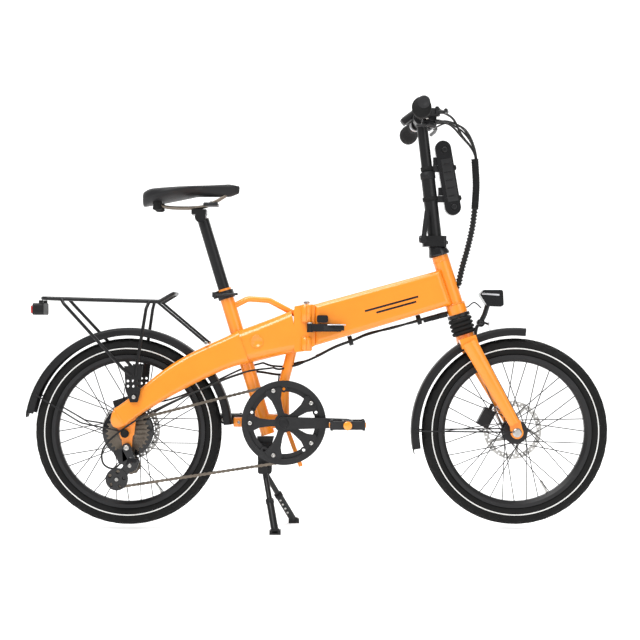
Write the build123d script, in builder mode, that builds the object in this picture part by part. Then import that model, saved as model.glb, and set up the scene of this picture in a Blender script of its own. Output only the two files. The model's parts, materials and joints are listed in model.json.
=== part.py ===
from build123d import *
import os
from math import acos, asin, atan2, cos, degrees, pi, radians, sin, sqrt

# Folding electric bicycle on its two-leg stand, standing on the floor at Z = 0.
# +X is forward, +Y is the rider's left, +Z is up. All sizes are in millimetres.

os.makedirs("parts", exist_ok=True)

# ---------------------------------------------------------------- driving dimensions
wheel_r = 254.0          # outside of a 50-406 tyre
tyre_w = 49.5
rim_r = 209.0
rim_inner_r = 190.5
stand_lift = 12.0        # how far the stand holds the wheels off the floor
wheel_z = wheel_r + stand_lift
front_x = 539.0
rear_x = -515.0
spokes = 36
spoke_r = 1.25

front_axle_r = 5.0
rear_axle_r = 6.0
running = 0.05           # radial clearance of a running fit

crank_x = -90.0
crank_z = 281.0 + stand_lift
crank_length = 170.0
chain_y = -54.0          # the one plane that the chain runs in
pitch = 12.7             # half-inch chain
chainring_teeth = 52
cog_teeth = (14, 16, 18, 20, 22, 24, 28)
cog_step = 4.2
pulley_teeth = 11
guide_pulley = (-502.0, 180.0)
tension_pulley = (-540.0, 141.0)

seat_tube_low = (-135.0, 258.0)
seat_tube_top = (-255.0, 655.0)
seat_tube_r = 19.0
seatpost_r = 15.9

head_low = (385.0, 587.0)
head_top = (335.0, 745.0)
head_tube_r = 22.5
steerer_r = 14.3

post_low = (322.0, 792.0)
post_top = (281.5, 1146.0)
bar_end_y = 290.0
bar_r = 11.1
clamp_r = 12.7

hinge_x = -29.5          # the plane where the two frame halves meet
hinge_pin_y = 39.0
hinge_pin_r = 5.0
hinge_low = 486.0
hinge_high = 613.0

guard_r = 283.0          # outside of both mudguards
guard_w = 56.0

up = (Align.CENTER, Align.CENTER, Align.MIN)


# ---------------------------------------------------------------- shared helpers
def along(low, top, distance):
    """The X and Z of a point that lies a distance up the line from low to top."""
    length = sqrt((top[0] - low[0]) ** 2 + (top[1] - low[1]) ** 2)
    share = distance / length
    return (low[0] + (top[0] - low[0]) * share, low[1] + (top[1] - low[1]) * share)


def disc(x, z, y_low, y_high, radius, mode=Mode.ADD):
    """A disc or shaft about a cross axis, from one Y to another."""
    with Locations(Plane(origin=(x, y_low, z), x_dir=(1, 0, 0), z_dir=(0, 1, 0))):
        Cylinder(radius, y_high - y_low, align=up, mode=mode)


def bar(start, end, radius, mode=Mode.ADD):
    """A straight round bar between two points."""
    reach = Vector(*end) - Vector(*start)
    with Locations(Plane(origin=start, z_dir=reach)):
        Cylinder(radius, reach.length, align=up, mode=mode)


def bent_rod(points, radius, bend):
    """A round rod through the points, with its corners bent to a radius."""
    with BuildLine() as path:
        FilletPolyline(*points, radius=bend)
    with BuildSketch(Plane(origin=path.line @ 0, z_dir=path.line % 0)) as section:
        Circle(radius)
    sweep(section.sketch, path=path.line)


def side_plate(points, y_low, y_high, mode=Mode.ADD):
    """A flat plate with an XZ outline, from one Y to another."""
    with BuildSketch(Plane(origin=(0, y_low, 0), x_dir=(1, 0, 0), z_dir=(0, -1, 0))) as outline:
        with BuildLine():
            Polyline(*points, close=True)
        make_face()
    extrude(outline.sketch, amount=-(y_high - y_low), mode=mode)


def pitch_radius(teeth):
    """The radius that a roller chain's pins take round a sprocket."""
    return pitch / (2 * sin(pi / teeth))


def sprocket_points(teeth):
    """A toothed outline: each tooth is a short tip between two root corners."""
    tip = pitch_radius(teeth) + 3.0
    root = pitch_radius(teeth) - 4.0
    points = []
    for i in range(teeth):
        for share, radius in ((0.0, root), (0.3, root), (0.55, tip), (0.75, tip)):
            angle = 2 * pi * (i + share) / teeth
            points.append((radius * cos(angle), radius * sin(angle)))
    return points


def sprocket(x, z, y, teeth, thickness, bore):
    """A toothed disc in the XZ plane, centred on y."""
    with BuildSketch(
        Plane(origin=(x, y - thickness / 2, z), x_dir=(1, 0, 0), z_dir=(0, 1, 0))
    ) as outline:
        with BuildLine():
            Polyline(*sprocket_points(teeth), close=True)
        make_face()
        Circle(bore, mode=Mode.SUBTRACT)
    extrude(outline.sketch, amount=thickness)


def wheel_section(x):
    """The plane of a wheel's section: its X is the radius, its Y runs along the axle."""
    return Plane(origin=(x, 0, wheel_z), x_dir=(1, 0, 0), z_dir=(0, 0, 1))


def axle_axis(x):
    return Axis((x, 0, wheel_z), (0, 1, 0))


# ---------------------------------------------------------------- wheels
def tyre_body(x):
    """A hollow tyre that sits on the rim's edges."""
    crown_r = tyre_w / 2
    with BuildPart() as tyre:
        with BuildSketch(wheel_section(x)):
            with Locations((wheel_r - crown_r, 0)):
                Circle(crown_r)
                Circle(crown_r - 4.0, mode=Mode.SUBTRACT)
            with Locations((0, 0)):
                Rectangle(2 * rim_r, tyre_w, mode=Mode.SUBTRACT)
        revolve(axis=axle_axis(x))
    return tyre


def rim_body(x):
    """A rim with a box section below and a well for the tyre above."""
    with BuildPart() as rim:
        with BuildSketch(wheel_section(x)):
            with BuildLine():
                Polyline(
                    (rim_r, 15), (199, 14.5), (rim_inner_r, 7), (rim_inner_r, -7),
                    (199, -14.5), (rim_r, -15), close=True,
                )
            make_face()
            with Locations((rim_r, 0)):
                Rectangle(22, 25, mode=Mode.SUBTRACT)
        revolve(axis=axle_axis(x))
    return rim


def spoke_set(x, hub_r, hub_y, cross):
    """Spokes that leave both flanges, every second one leaning forward."""
    with BuildPart() as spoke_group:
        for i in range(spokes):
            side = 1 if i % 2 else -1
            lean = cross if i % 4 < 2 else -cross
            hub_side_y = hub_y + (1.3 if i % 4 < 2 else -1.3)
            rim_angle = 2 * pi * i / spokes
            hub_angle = rim_angle + lean
            start = (x + hub_r * cos(hub_angle), side * hub_side_y, wheel_z + hub_r * sin(hub_angle))
            reach = rim_inner_r + 1.0
            end = (x + reach * cos(rim_angle), side * 2.5, wheel_z + reach * sin(rim_angle))
            bar(start, end, spoke_r)
    return spoke_group


def rotor_body(x, y, thickness):
    """A brake disc with five arms, a band with drilled rows and a carrier."""
    with BuildPart() as rotor:
        with BuildSketch(Plane(origin=(x, y, wheel_z), x_dir=(1, 0, 0), z_dir=(0, 1, 0))):
            Circle(80)
            Circle(66, mode=Mode.SUBTRACT)
            Circle(24)
            with PolarLocations(44, 5):
                Rectangle(48, 8, rotation=28)
            Circle(17, mode=Mode.SUBTRACT)
            with PolarLocations(75, 24):
                Circle(2.4, mode=Mode.SUBTRACT)
            with PolarLocations(70.5, 24, start_angle=7.5):
                Circle(2.4, mode=Mode.SUBTRACT)
        extrude(amount=thickness)
    return rotor


rear_tyre = tyre_body(rear_x)
rear_tyre.part.label = "rear_tyre"
export_step(rear_tyre.part, "parts/rear_tyre.step")

front_tyre = tyre_body(front_x)
front_tyre.part.label = "front_tyre"
export_step(front_tyre.part, "parts/front_tyre.step")

rear_rim = rim_body(rear_x)
rear_rim.part.label = "rear_rim"
export_step(rear_rim.part, "parts/rear_rim.step")

front_rim = rim_body(front_x)
front_rim.part.label = "front_rim"
export_step(front_rim.part, "parts/front_rim.step")

rear_flange_r = 66.0
rear_flange_y = 21.0
front_flange_r = 33.0
front_flange_y = 26.0

rear_spokes = spoke_set(rear_x, rear_flange_r - 3, rear_flange_y - 1, radians(22))
rear_spokes.part.label = "rear_spokes"
export_step(rear_spokes.part, "parts/rear_spokes.step")

front_spokes = spoke_set(front_x, front_flange_r - 3, front_flange_y - 1, radians(62))
front_spokes.part.label = "front_spokes"
export_step(front_spokes.part, "parts/front_spokes.step")

rotor_y_rear = 44.0
rotor_y_front = 38.0
rotor_t = 1.8

rear_rotor = rotor_body(rear_x, rotor_y_rear, rotor_t)
rear_rotor.part.label = "rear_rotor"
export_step(rear_rotor.part, "parts/rear_rotor.step")

front_rotor = rotor_body(front_x, rotor_y_front, rotor_t)
front_rotor.part.label = "front_rotor"
export_step(front_rotor.part, "parts/front_rotor.step")

# The front hub turns on the fixed axle.
with BuildPart() as front_hub:
    disc(front_x, wheel_z, -45, 45, 12)
    disc(front_x, wheel_z, -front_flange_y, front_flange_y, 17)
    disc(front_x, wheel_z, -front_flange_y - 2, -front_flange_y + 2, front_flange_r)
    disc(front_x, wheel_z, front_flange_y - 2, front_flange_y + 2, front_flange_r)
    disc(front_x, wheel_z, front_flange_y + 2, rotor_y_front, 22)
    disc(front_x, wheel_z, rotor_y_front, rotor_y_front + rotor_t, 16.9)
    disc(front_x, wheel_z, -45, 45, front_axle_r + running, mode=Mode.SUBTRACT)
front_hub.part.label = "front_hub"
export_step(front_hub.part, "parts/front_hub.step")

# The rear hub shell is the motor's rotating case, hollow for the stator.
with BuildPart() as rear_hub_shell:
    disc(rear_x, wheel_z, -24, 24, 60)
    disc(rear_x, wheel_z, rear_flange_y - 3, rear_flange_y, rear_flange_r)
    disc(rear_x, wheel_z, -rear_flange_y, -rear_flange_y + 3, rear_flange_r)
    disc(rear_x, wheel_z, 24, rotor_y_rear, 22)
    disc(rear_x, wheel_z, rotor_y_rear, rotor_y_rear + rotor_t, 16.9)
    disc(rear_x, wheel_z, rotor_y_rear + rotor_t, 52, 14)
    disc(rear_x, wheel_z, -26, -24, 30)
    disc(rear_x, wheel_z, -20, 20, 55, mode=Mode.SUBTRACT)
    disc(rear_x, wheel_z, -26, 52, rear_axle_r + running, mode=Mode.SUBTRACT)
rear_hub_shell.part.label = "rear_hub_shell"
export_step(rear_hub_shell.part, "parts/rear_hub_shell.step")

# The rear axle carries the motor's stator and its two nuts.
with BuildPart() as motor_stator:
    disc(rear_x, wheel_z, -90, 90, rear_axle_r)
    disc(rear_x, wheel_z, -17, 17, 20)
    with BuildSketch(Plane(origin=(rear_x, -17, wheel_z), x_dir=(1, 0, 0), z_dir=(0, 1, 0))):
        Circle(30)
        with PolarLocations(38, 18):
            Rectangle(24, 6)
        with PolarLocations(50, 18):
            Rectangle(5, 12)
    extrude(amount=34)
    for y_low in (-89, 79):
        with BuildSketch(Plane(origin=(rear_x, y_low, wheel_z), x_dir=(1, 0, 0), z_dir=(0, 1, 0))):
            RegularPolygon(11, 6)
        extrude(amount=10)
motor_stator.part.label = "motor_stator"
export_step(motor_stator.part, "parts/motor_stator.step")

with BuildPart() as front_axle:
    disc(front_x, wheel_z, -66, 66, front_axle_r)
    for y_low in (-66, 59):
        with BuildSketch(Plane(origin=(front_x, y_low, wheel_z), x_dir=(1, 0, 0), z_dir=(0, 1, 0))):
            RegularPolygon(9, 6)
        extrude(amount=7)
front_axle.part.label = "front_axle"
export_step(front_axle.part, "parts/front_axle.step")


# ---------------------------------------------------------------- drive
cog_r = pitch_radius(cog_teeth[0])
pulley_r = pitch_radius(pulley_teeth)
ring_r = pitch_radius(chainring_teeth)

with BuildPart() as cassette:
    for i, teeth in enumerate(cog_teeth):
        sprocket(rear_x, wheel_z, chain_y + i * cog_step, teeth, 1.8, 17)
    disc(rear_x, wheel_z, chain_y - 2, -26.5, 20)
    disc(rear_x, wheel_z, chain_y - 2, -26.5, rear_axle_r + running, mode=Mode.SUBTRACT)
cassette.part.label = "cassette"
export_step(cassette.part, "parts/cassette.step")

with BuildPart() as chainring:
    sprocket(crank_x, crank_z, chain_y, chainring_teeth, 1.8, 84)
    disc(crank_x, crank_z, chain_y - 8, chain_y - 4.5, 114)
    disc(crank_x, crank_z, chain_y - 8, chain_y - 4.5, 97, mode=Mode.SUBTRACT)
    for i in range(5):
        angle = 2 * pi * i / 5 + pi / 2
        x = crank_x + 91 * cos(angle)
        z = crank_z + 91 * sin(angle)
        disc(x, z, chain_y - 8, chain_y, 9)
        disc(x, z, chain_y - 8, chain_y + 1, 4, mode=Mode.SUBTRACT)
chainring.part.label = "chainring"
export_step(chainring.part, "parts/chainring.step")


def crank_arm(reach, y_low, y_high):
    """A tapered arm between the crank axle and the pedal axle."""
    with BuildSketch(Plane(origin=(0, y_low, 0), x_dir=(1, 0, 0), z_dir=(0, -1, 0))) as outline:
        with Locations((crank_x, crank_z)):
            Circle(17)
        with Locations((crank_x + reach, crank_z)):
            Circle(12)
        make_hull()
    extrude(outline.sketch, amount=-(y_high - y_low))


# The right crank and its five-arm spider are one forging.
with BuildPart() as crank_right:
    crank_arm(crank_length, -80, -67)
    with BuildSketch(Plane(origin=(crank_x, -62.5, crank_z), x_dir=(1, 0, 0), z_dir=(0, -1, 0))):
        Circle(26)
        with PolarLocations(0, 5, start_angle=36):
            Polygon(
                (0, -10), (38, -9), (66, -13), (90, -25), (96, -18), (96, 18), (90, 25), (66, 13), (38, 9),
                (0, 10), align=None,
            )
    extrude(amount=6)
    disc(crank_x, crank_z, -81, -62, 8, mode=Mode.SUBTRACT)
    disc(crank_x + crank_length, crank_z, -81, -66, 7, mode=Mode.SUBTRACT)
crank_right.part.label = "crank_right"
export_step(crank_right.part, "parts/crank_right.step")

# The left crank carries the axle that runs through the bottom bracket.
with BuildPart() as crank_left:
    crank_arm(-crank_length, 67, 80)
    disc(crank_x, crank_z, -80, 70, 8)
    disc(crank_x, crank_z, -83, -80, 11)
    disc(crank_x - crank_length, crank_z, 66, 81, 7, mode=Mode.SUBTRACT)
crank_left.part.label = "crank_left"
export_step(crank_left.part, "parts/crank_left.step")


def pedal(x, side):
    """A platform pedal: an axle stub, a barrel, two ribbed treads and a round cap."""
    with BuildPart() as body:
        y_low, y_high = sorted((side * 84, side * 172))
        disc(x, crank_z, y_low, y_high, 10)
        with Locations((x, side * 128, crank_z)):
            Box(92, 84, 22)
            with Locations((27, 0, 0), (-27, 0, 0)):
                Box(26, 66, 30, mode=Mode.SUBTRACT)
        y_low, y_high = sorted((side * 172, side * 177))
        disc(x, crank_z, y_low, y_high, 12)
        y_low, y_high = sorted((side * 67, side * 86))
        disc(x, crank_z, y_low, y_high, 7 - running)
    return body


pedal_right = pedal(crank_x + crank_length, -1)
pedal_right.part.label = "pedal_right"
export_step(pedal_right.part, "parts/pedal_right.step")

pedal_left = pedal(crank_x - crank_length, 1)
pedal_left.part.label = "pedal_left"
export_step(pedal_left.part, "parts/pedal_left.step")

with BuildPart() as bottom_bracket:
    disc(crank_x, crank_z, -38, 38, 16.5)
    disc(crank_x, crank_z, -40, -36, 19)
    disc(crank_x, crank_z, 36, 40, 19)
    disc(crank_x, crank_z, -40, 40, 8 + running, mode=Mode.SUBTRACT)
bottom_bracket.part.label = "bottom_bracket"
export_step(bottom_bracket.part, "parts/bottom_bracket.step")


def pulley_body(centre):
    with BuildPart() as pulley:
        sprocket(centre[0], centre[1], chain_y, pulley_teeth, 1.8, 4 + running)
        disc(centre[0], centre[1], chain_y - 1.6, chain_y + 1.6, 12)
        disc(centre[0], centre[1], chain_y - 2, chain_y + 2, 4 + running, mode=Mode.SUBTRACT)
    return pulley


guide_pulley_wheel = pulley_body(guide_pulley)
guide_pulley_wheel.part.label = "guide_pulley"
export_step(guide_pulley_wheel.part, "parts/guide_pulley.step")

tension_pulley_wheel = pulley_body(tension_pulley)
tension_pulley_wheel.part.label = "tension_pulley"
export_step(tension_pulley_wheel.part, "parts/tension_pulley.step")

# The rear derailleur: hanger bolt, knuckle body and a long cage of two plates.
with BuildPart() as rear_derailleur:
    disc(rear_x + 4, 228, -84, -71, 12)
    with BuildSketch(Plane(origin=(0, -71.5, 0), x_dir=(1, 0, 0), z_dir=(0, -1, 0))):
        with Locations((rear_x + 4, 228)):
            Circle(12)
        with Locations(guide_pulley):
            Circle(18)
        make_hull()
    extrude(amount=15)
    for y_low in (chain_y - 9, chain_y + 5):
        with BuildSketch(Plane(origin=(0, y_low, 0), x_dir=(1, 0, 0), z_dir=(0, 1, 0))):
            with Locations((guide_pulley[0], -guide_pulley[1])):
                Circle(11)
            with Locations((tension_pulley[0], -tension_pulley[1])):
                Circle(14)
            make_hull()
        extrude(amount=2)
    disc(guide_pulley[0], guide_pulley[1], chain_y - 18, chain_y + 6, 4)
    disc(tension_pulley[0], tension_pulley[1], chain_y - 10, chain_y + 6, 4)
    # the lower wheel's guard, with five windows
    disc(tension_pulley[0], tension_pulley[1], chain_y - 11, chain_y - 8.5, 30)
    for n in range(5):
        angle = radians(82 + 72 * n)
        disc(
            tension_pulley[0] + 20 * cos(angle), tension_pulley[1] + 20 * sin(angle),
            chain_y - 12, chain_y - 6, 5.5, mode=Mode.SUBTRACT,
        )
rear_derailleur.part.label = "rear_derailleur"
export_step(rear_derailleur.part, "parts/rear_derailleur.step")

# The chain loop's wheels in the order it meets them. A side of 1 turns clockwise seen
# from the right and -1 turns the other way.
chain_wheels = (
    ((crank_x, crank_z), ring_r, 1),
    (tension_pulley, pulley_r, 1),
    (guide_pulley, pulley_r, -1),
    ((rear_x, wheel_z), cog_r, 1),
)


def tangent(first, second):
    """Where the chain leaves one wheel and meets the next."""
    (x1, z1), r1, s1 = first
    (x2, z2), r2, s2 = second
    dx, dz = x2 - x1, z2 - z1
    turn = atan2(dz, dx) + asin((s2 * r2 - s1 * r1) / sqrt(dx * dx + dz * dz))
    nx, nz = sin(turn), -cos(turn)
    return (x1 - s1 * r1 * nx, z1 - s1 * r1 * nz), (x2 - s2 * r2 * nx, z2 - s2 * r2 * nz)


def arc_middle(wheel, arrive, leave):
    """The middle of the chain's wrap round a wheel."""
    (x, z), r, side = wheel
    a = atan2(arrive[1] - z, arrive[0] - x)
    b = atan2(leave[1] - z, leave[0] - x)
    span = (a - b) * side % (2 * pi)
    mid = a - side * span / 2
    return (x + r * cos(mid), z + r * sin(mid))


chain_spans = [tangent(chain_wheels[i], chain_wheels[(i + 1) % 4]) for i in range(4)]
chain_plate_y = 2.2
with BuildPart() as chain:
    for y in (chain_y - chain_plate_y, chain_y + chain_plate_y):
        with BuildLine() as loop:
            for i in range(4):
                leave, arrive = chain_spans[i]
                wheel = chain_wheels[(i + 1) % 4]
                away = chain_spans[(i + 1) % 4][0]
                mid = arc_middle(wheel, arrive, away)
                Line((leave[0], y, leave[1]), (arrive[0], y, arrive[1]))
                ThreePointArc((arrive[0], y, arrive[1]), (mid[0], y, mid[1]), (away[0], y, away[1]))
        start = loop.line @ 0
        with BuildSketch(Plane(origin=start, x_dir=(0, 1, 0), z_dir=loop.line % 0)):
            Rectangle(1.0, 8)
        sweep()
    for i in (0, 3):
        (x1, z1), (x2, z2) = chain_spans[i]
        length = sqrt((x2 - x1) ** 2 + (z2 - z1) ** 2)
        for n in range(5, int(length / pitch) - 4):
            share = n * pitch / length
            x, z = x1 + (x2 - x1) * share, z1 + (z2 - z1) * share
            disc(x, z, chain_y - chain_plate_y, chain_y + chain_plate_y, 2.5)
chain.part.label = "chain"
export_step(chain.part, "parts/chain.step")


# ---------------------------------------------------------------- rear frame
def arm_section(x, z, height, y, width, slope):
    """One rounded section across a rear arm."""
    lean = radians(slope)
    plane = Plane(origin=(x, y, z), x_dir=(0, 1, 0), z_dir=(cos(lean), 0, sin(lean)))
    with BuildSketch(plane) as section:
        RectangleRounded(width, height, min(width, height) * 0.42)
    return section.sketch


with BuildPart() as rear_frame:
    # two swept arms that flank the wheel and join in front of it
    for side in (1, -1):
        loft([
            arm_section(-528, 309, 58, side * 80, 18, 36),
            arm_section(-452, 366, 60, side * 67, 24, 36),
            arm_section(-385, 411, 74, side * 54, 30, 32),
            arm_section(-289, 462, 80, side * 40, 34, 27),
            arm_section(-200, 497, 94, side * 21, 42, 20),
        ])
    with BuildSketch(Plane(origin=(-212, 0, 493), x_dir=(0, 1, 0), z_dir=(1, 0, 0.3))):
        RectangleRounded(76, 92, 26)
    with BuildSketch(Plane(origin=(-129, 0, 518.5), x_dir=(0, 1, 0), z_dir=(1, 0, 0.29))):
        RectangleRounded(78, 101, 24)
    with BuildSketch(Plane(origin=(-60, 0, 540), x_dir=(0, 1, 0), z_dir=(1, 0, 0.2))):
        RectangleRounded(80, 112, 20)
    loft()
    # dropouts with the derailleur hanger on the right
    for y_low in (-74, 68):
        side_plate(
            ((-541, 290), (-500, 345), (-484, 330), (-492, 262), (-503, 250), (-527, 250)),
            y_low, y_low + 6,
        )
    disc(rear_x + 4, 228, -71, -66.5, 9)
    side_plate(((-527, 262), (-523, 222), (-499, 222), (-496, 262)), -71, -68)
    # seat tube, gusset and bottom bracket shell
    bar((seat_tube_low[0], 0, seat_tube_low[1]), (seat_tube_top[0], 0, seat_tube_top[1]), seat_tube_r)
    disc(crank_x, crank_z, -34, 34, 20.5)
    side_plate(((-155, 274), (-90, 276), (-90, 310), (-160, 316)), -14, 14)
    # front strut, carry handle and skid rod
    bent_rod(((-66, 0, 500), (-91, 0, 402), (crank_x, 0, crank_z)), 14, 60)
    bent_rod(((-236, 0, 604), (-190, 0, 628), (-132, 0, 624), (-58, 0, 585)), 8, 30)
    bar((crank_x, 0, crank_z), (-45, 0, 170), 6)
    # hinge plate with the outer knuckles
    side_plate(
        ((-62, 482), (hinge_x, hinge_low), (hinge_x, hinge_high), (-62, 607)), -40, 40,
    )
    for z_low, z_high in ((490, 520), (579, 609)):
        bar((hinge_x, hinge_pin_y, z_low), (hinge_x, hinge_pin_y, z_high), 12)
    # clear the front knuckle, the wheel, the mudguard, the seatpost and the bracket
    bar((hinge_x, hinge_pin_y, 520), (hinge_x, hinge_pin_y, 579), 12.6, mode=Mode.SUBTRACT)
    bar((hinge_x, hinge_pin_y, 480), (hinge_x, hinge_pin_y, 620), hinge_pin_r, mode=Mode.SUBTRACT)
    with Locations((hinge_x + 30, 0, 550)):
        Box(60, 50, 160, mode=Mode.SUBTRACT)
    disc(rear_x, wheel_z, -31, 31, guard_r + 6, mode=Mode.SUBTRACT)
    disc(rear_x, wheel_z, -85, 85, rear_axle_r, mode=Mode.SUBTRACT)
    disc(crank_x, crank_z, -38, 38, 16.5, mode=Mode.SUBTRACT)
    bar(
        (seat_tube_low[0] + 3, 0, seat_tube_low[1] - 10),
        (seat_tube_top[0] - 3, 0, seat_tube_top[1] + 10),
        seatpost_r + running, mode=Mode.SUBTRACT,
    )
rear_frame.part.label = "rear_frame"
export_step(rear_frame.part, "parts/rear_frame.step")

with BuildPart() as main_hinge_pin:
    bar((hinge_x, hinge_pin_y, 484), (hinge_x, hinge_pin_y, 615), hinge_pin_r - running)
    bar((hinge_x, hinge_pin_y, 615), (hinge_x, hinge_pin_y, 619), 9)
main_hinge_pin.part.label = "main_hinge_pin"
export_step(main_hinge_pin.part, "parts/main_hinge_pin.step")


# ---------------------------------------------------------------- saddle and seatpost
seat_length = sqrt(
    (seat_tube_low[0] - seat_tube_top[0]) ** 2 + (seat_tube_top[1] - seat_tube_low[1]) ** 2
)
post_head = along(seat_tube_low, seat_tube_top, seat_length + 198)
post_foot = along(seat_tube_low, seat_tube_top, seat_length - 212)

with BuildPart() as seatpost:
    bar((post_foot[0], 0, post_foot[1]), (post_head[0], 0, post_head[1]), seatpost_r)
    bar((post_foot[0], 0, post_foot[1]), (post_head[0] + 20, 0, post_head[1] - 66),
        13, mode=Mode.SUBTRACT)
    disc(post_head[0] - 6, post_head[1] + 6, -26, 26, 15)
    with Locations((post_head[0] - 10, 0, post_head[1] + 20)):
        Box(40, 52, 14)
seatpost.part.label = "seatpost"
export_step(seatpost.part, "parts/seatpost.step")

saddle_back_x = -474.0
saddle_nose_x = -210.0
saddle_top_z = 946.0
saddle_low_z = 896.0
with BuildPart() as saddle:
    with BuildSketch(Plane.XY.offset(saddle_low_z)):
        with BuildLine():
            Spline(
                (saddle_back_x, 0), (-462, 62), (-410, 81), (-345, 52), (-290, 26), (-228, 19),
                (saddle_nose_x, 0), (-228, -19), (-290, -26), (-345, -52), (-410, -81), (-462, -62),
                periodic=True,
            )
        make_face()
    extrude(amount=saddle_top_z - saddle_low_z)
saddle.part.label = "saddle"
export_step(saddle.part, "parts/saddle.step")

clamp_at = along(seat_tube_low, seat_tube_top, seat_length - 17)
with BuildPart() as seat_clamp:
    top = along(seat_tube_low, seat_tube_top, seat_length - 6)
    low = along(seat_tube_low, seat_tube_top, seat_length - 28)
    bar((low[0], 0, low[1]), (top[0], 0, top[1]), seat_tube_r + 4)
    with Locations(Plane(origin=(clamp_at[0] - 24, 0, clamp_at[1]), z_dir=(-0.289, 0, 0.957))):
        Box(22, 22, 18)
        Box(30, 3, 20, mode=Mode.SUBTRACT)
    bar((low[0] + 9, 0, low[1] - 30), (top[0] - 9, 0, top[1] + 30),
        seat_tube_r + running, mode=Mode.SUBTRACT)
    disc(clamp_at[0] - 29, clamp_at[1], -14.5, 18, 3)
    disc(clamp_at[0] - 29, clamp_at[1], 12, 18, 6)
seat_clamp.part.label = "seat_clamp"
export_step(seat_clamp.part, "parts/seat_clamp.step")

# The quick release lever: a cam drum beside the clamp and an arm that wraps forward.
with BuildPart() as seat_clamp_lever:
    cam = (clamp_at[0] - 29, -22, clamp_at[1])
    bar((cam[0], cam[1], cam[2] - 7), (cam[0], cam[1], cam[2] + 7), 7)
    bent_rod(
        ((cam[0], -23, cam[2]), (clamp_at[0] - 4, -31, cam[2]), (clamp_at[0] + 34, -27, cam[2] + 2)),
        3.5, 12,
    )
seat_clamp_lever.part.label = "seat_clamp_lever"
export_step(seat_clamp_lever.part, "parts/seat_clamp_lever.step")


# ---------------------------------------------------------------- mudguards and rack
def mudguard(x, start, end, width, thickness):
    """A curved channel over the wheel, from one angle to another."""
    with BuildPart() as guard:
        origin = Vector(x, 0, wheel_z)
        radial = Vector(cos(radians(start)), 0, sin(radians(start)))
        with BuildSketch(Plane(origin=origin, x_dir=radial, z_dir=radial.cross(Vector(0, 1, 0)))):
            with Locations((guard_r - 13, 0)):
                RectangleRounded(26, width, 9)
            with Locations((guard_r - 16 - thickness, 0)):
                RectangleRounded(32, width - 2 * thickness, 7, mode=Mode.SUBTRACT)
            with Locations((guard_r - 26, 0)):
                Rectangle(12, width, mode=Mode.SUBTRACT)
        revolve(axis=Axis((x, 0, wheel_z), (0, -1, 0)), revolution_arc=end - start)
    return guard


rear_guard_end = 180 - degrees(acos((front_x + wheel_r + rear_x) / guard_r))
rear_stay_angle = radians(158)
rear_channel = mudguard(rear_x, 4, rear_guard_end, guard_w, 2)
with BuildPart() as rear_mudguard:
    add(rear_channel.part)
    for side in (1, -1):
        grip_x = rear_x + (guard_r - 12) * cos(rear_stay_angle)
        grip_z = wheel_z + (guard_r - 12) * sin(rear_stay_angle)
        bent_rod(
            ((grip_x, side * (guard_w / 2 + 1), grip_z), (-640, side * 45, 292),
             (rear_x - 14, side * 80, wheel_z + 6)), 2, 40,
        )
        disc(grip_x, grip_z, *sorted((side * (guard_w / 2 - 3), side * (guard_w / 2 + 3))), 5)
rear_mudguard.part.label = "rear_mudguard"
export_step(rear_mudguard.part, "parts/rear_mudguard.step")

rack_half = 62.0
rack_tube_r = 5.0
rack_back = -742.0
rack_tip_z = 642.0


def deck(x):
    """The height of the rack's deck, which drops a little towards the front."""
    return 629 - 9 * (x - rack_back) / 317


with BuildPart() as rack:
    bent_rod(
        ((-560, rack_half, deck(-560)), (rack_back, rack_half, deck(rack_back)),
         (rack_back, -rack_half, deck(rack_back)), (-560, -rack_half, deck(-560))), rack_tube_r, 18,
    )
    bent_rod(
        ((-562, rack_half, deck(-562)), (-425, rack_half, deck(-425)), (-388, rack_half - 8, rack_tip_z),
         (-388, 8 - rack_half, rack_tip_z), (-425, -rack_half, deck(-425)), (-562, -rack_half, deck(-562))),
        rack_tube_r, 16,
    )
    for x in (-700, -620, -540, -460):
        bar((x, -rack_half, deck(x)), (x, rack_half, deck(x)), 3.5)
    bar((rack_back, 0, deck(rack_back)), (-425, 0, deck(-425)), 3.5)
    bar((-425, 0, deck(-425)), (-388, 0, rack_tip_z), 3.5)
    for side in (1, -1):
        plate_low, plate_high = sorted((side * 89.5, side * 92.5))
        bent_rod(
            ((-690, side * rack_half, deck(-690)), (-680, side * 78, deck(-690) - 14),
             (-520, side * 91, 440), (-497, side * 91, 420)), 4.5, 12,
        )
        bent_rod(
            ((-452, side * rack_half, deck(-452)), (-459, side * 78, deck(-452) - 20),
             (-484, side * 91, 440), (-486, side * 91, 420)), 4.5, 12,
        )
        side_plate(
            ((-516, 447), (-467, 447), (-474, 372), (-480, 350), (-500, 350), (-512, 380)),
            plate_low, plate_high,
        )
        with Locations(Plane(origin=(-492, side * 94, 400), z_dir=(0, 1, 0))):
            with GridLocations(14, 14, 2, 3):
                Cylinder(3.4, 12, mode=Mode.SUBTRACT)
        bar((-433, side * rack_half, deck(-433)), (-300, side * 57, 508), 3.5)
        boss_low, boss_high = sorted((side * 86, side * 96))
        disc(-490, 364, boss_low, boss_high, 6)
rack.part.label = "rack"
export_step(rack.part, "parts/rack.step")

with BuildPart() as rear_light:
    with Locations((-757, 0, 600)):
        Box(30, 74, 32)
    fillet(rear_light.edges().filter_by(Axis.X), 8)
    with Locations((-774, 0, 599)):
        Box(6, 66, 20)
rear_light.part.label = "rear_light"
export_step(rear_light.part, "parts/rear_light.step")


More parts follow.
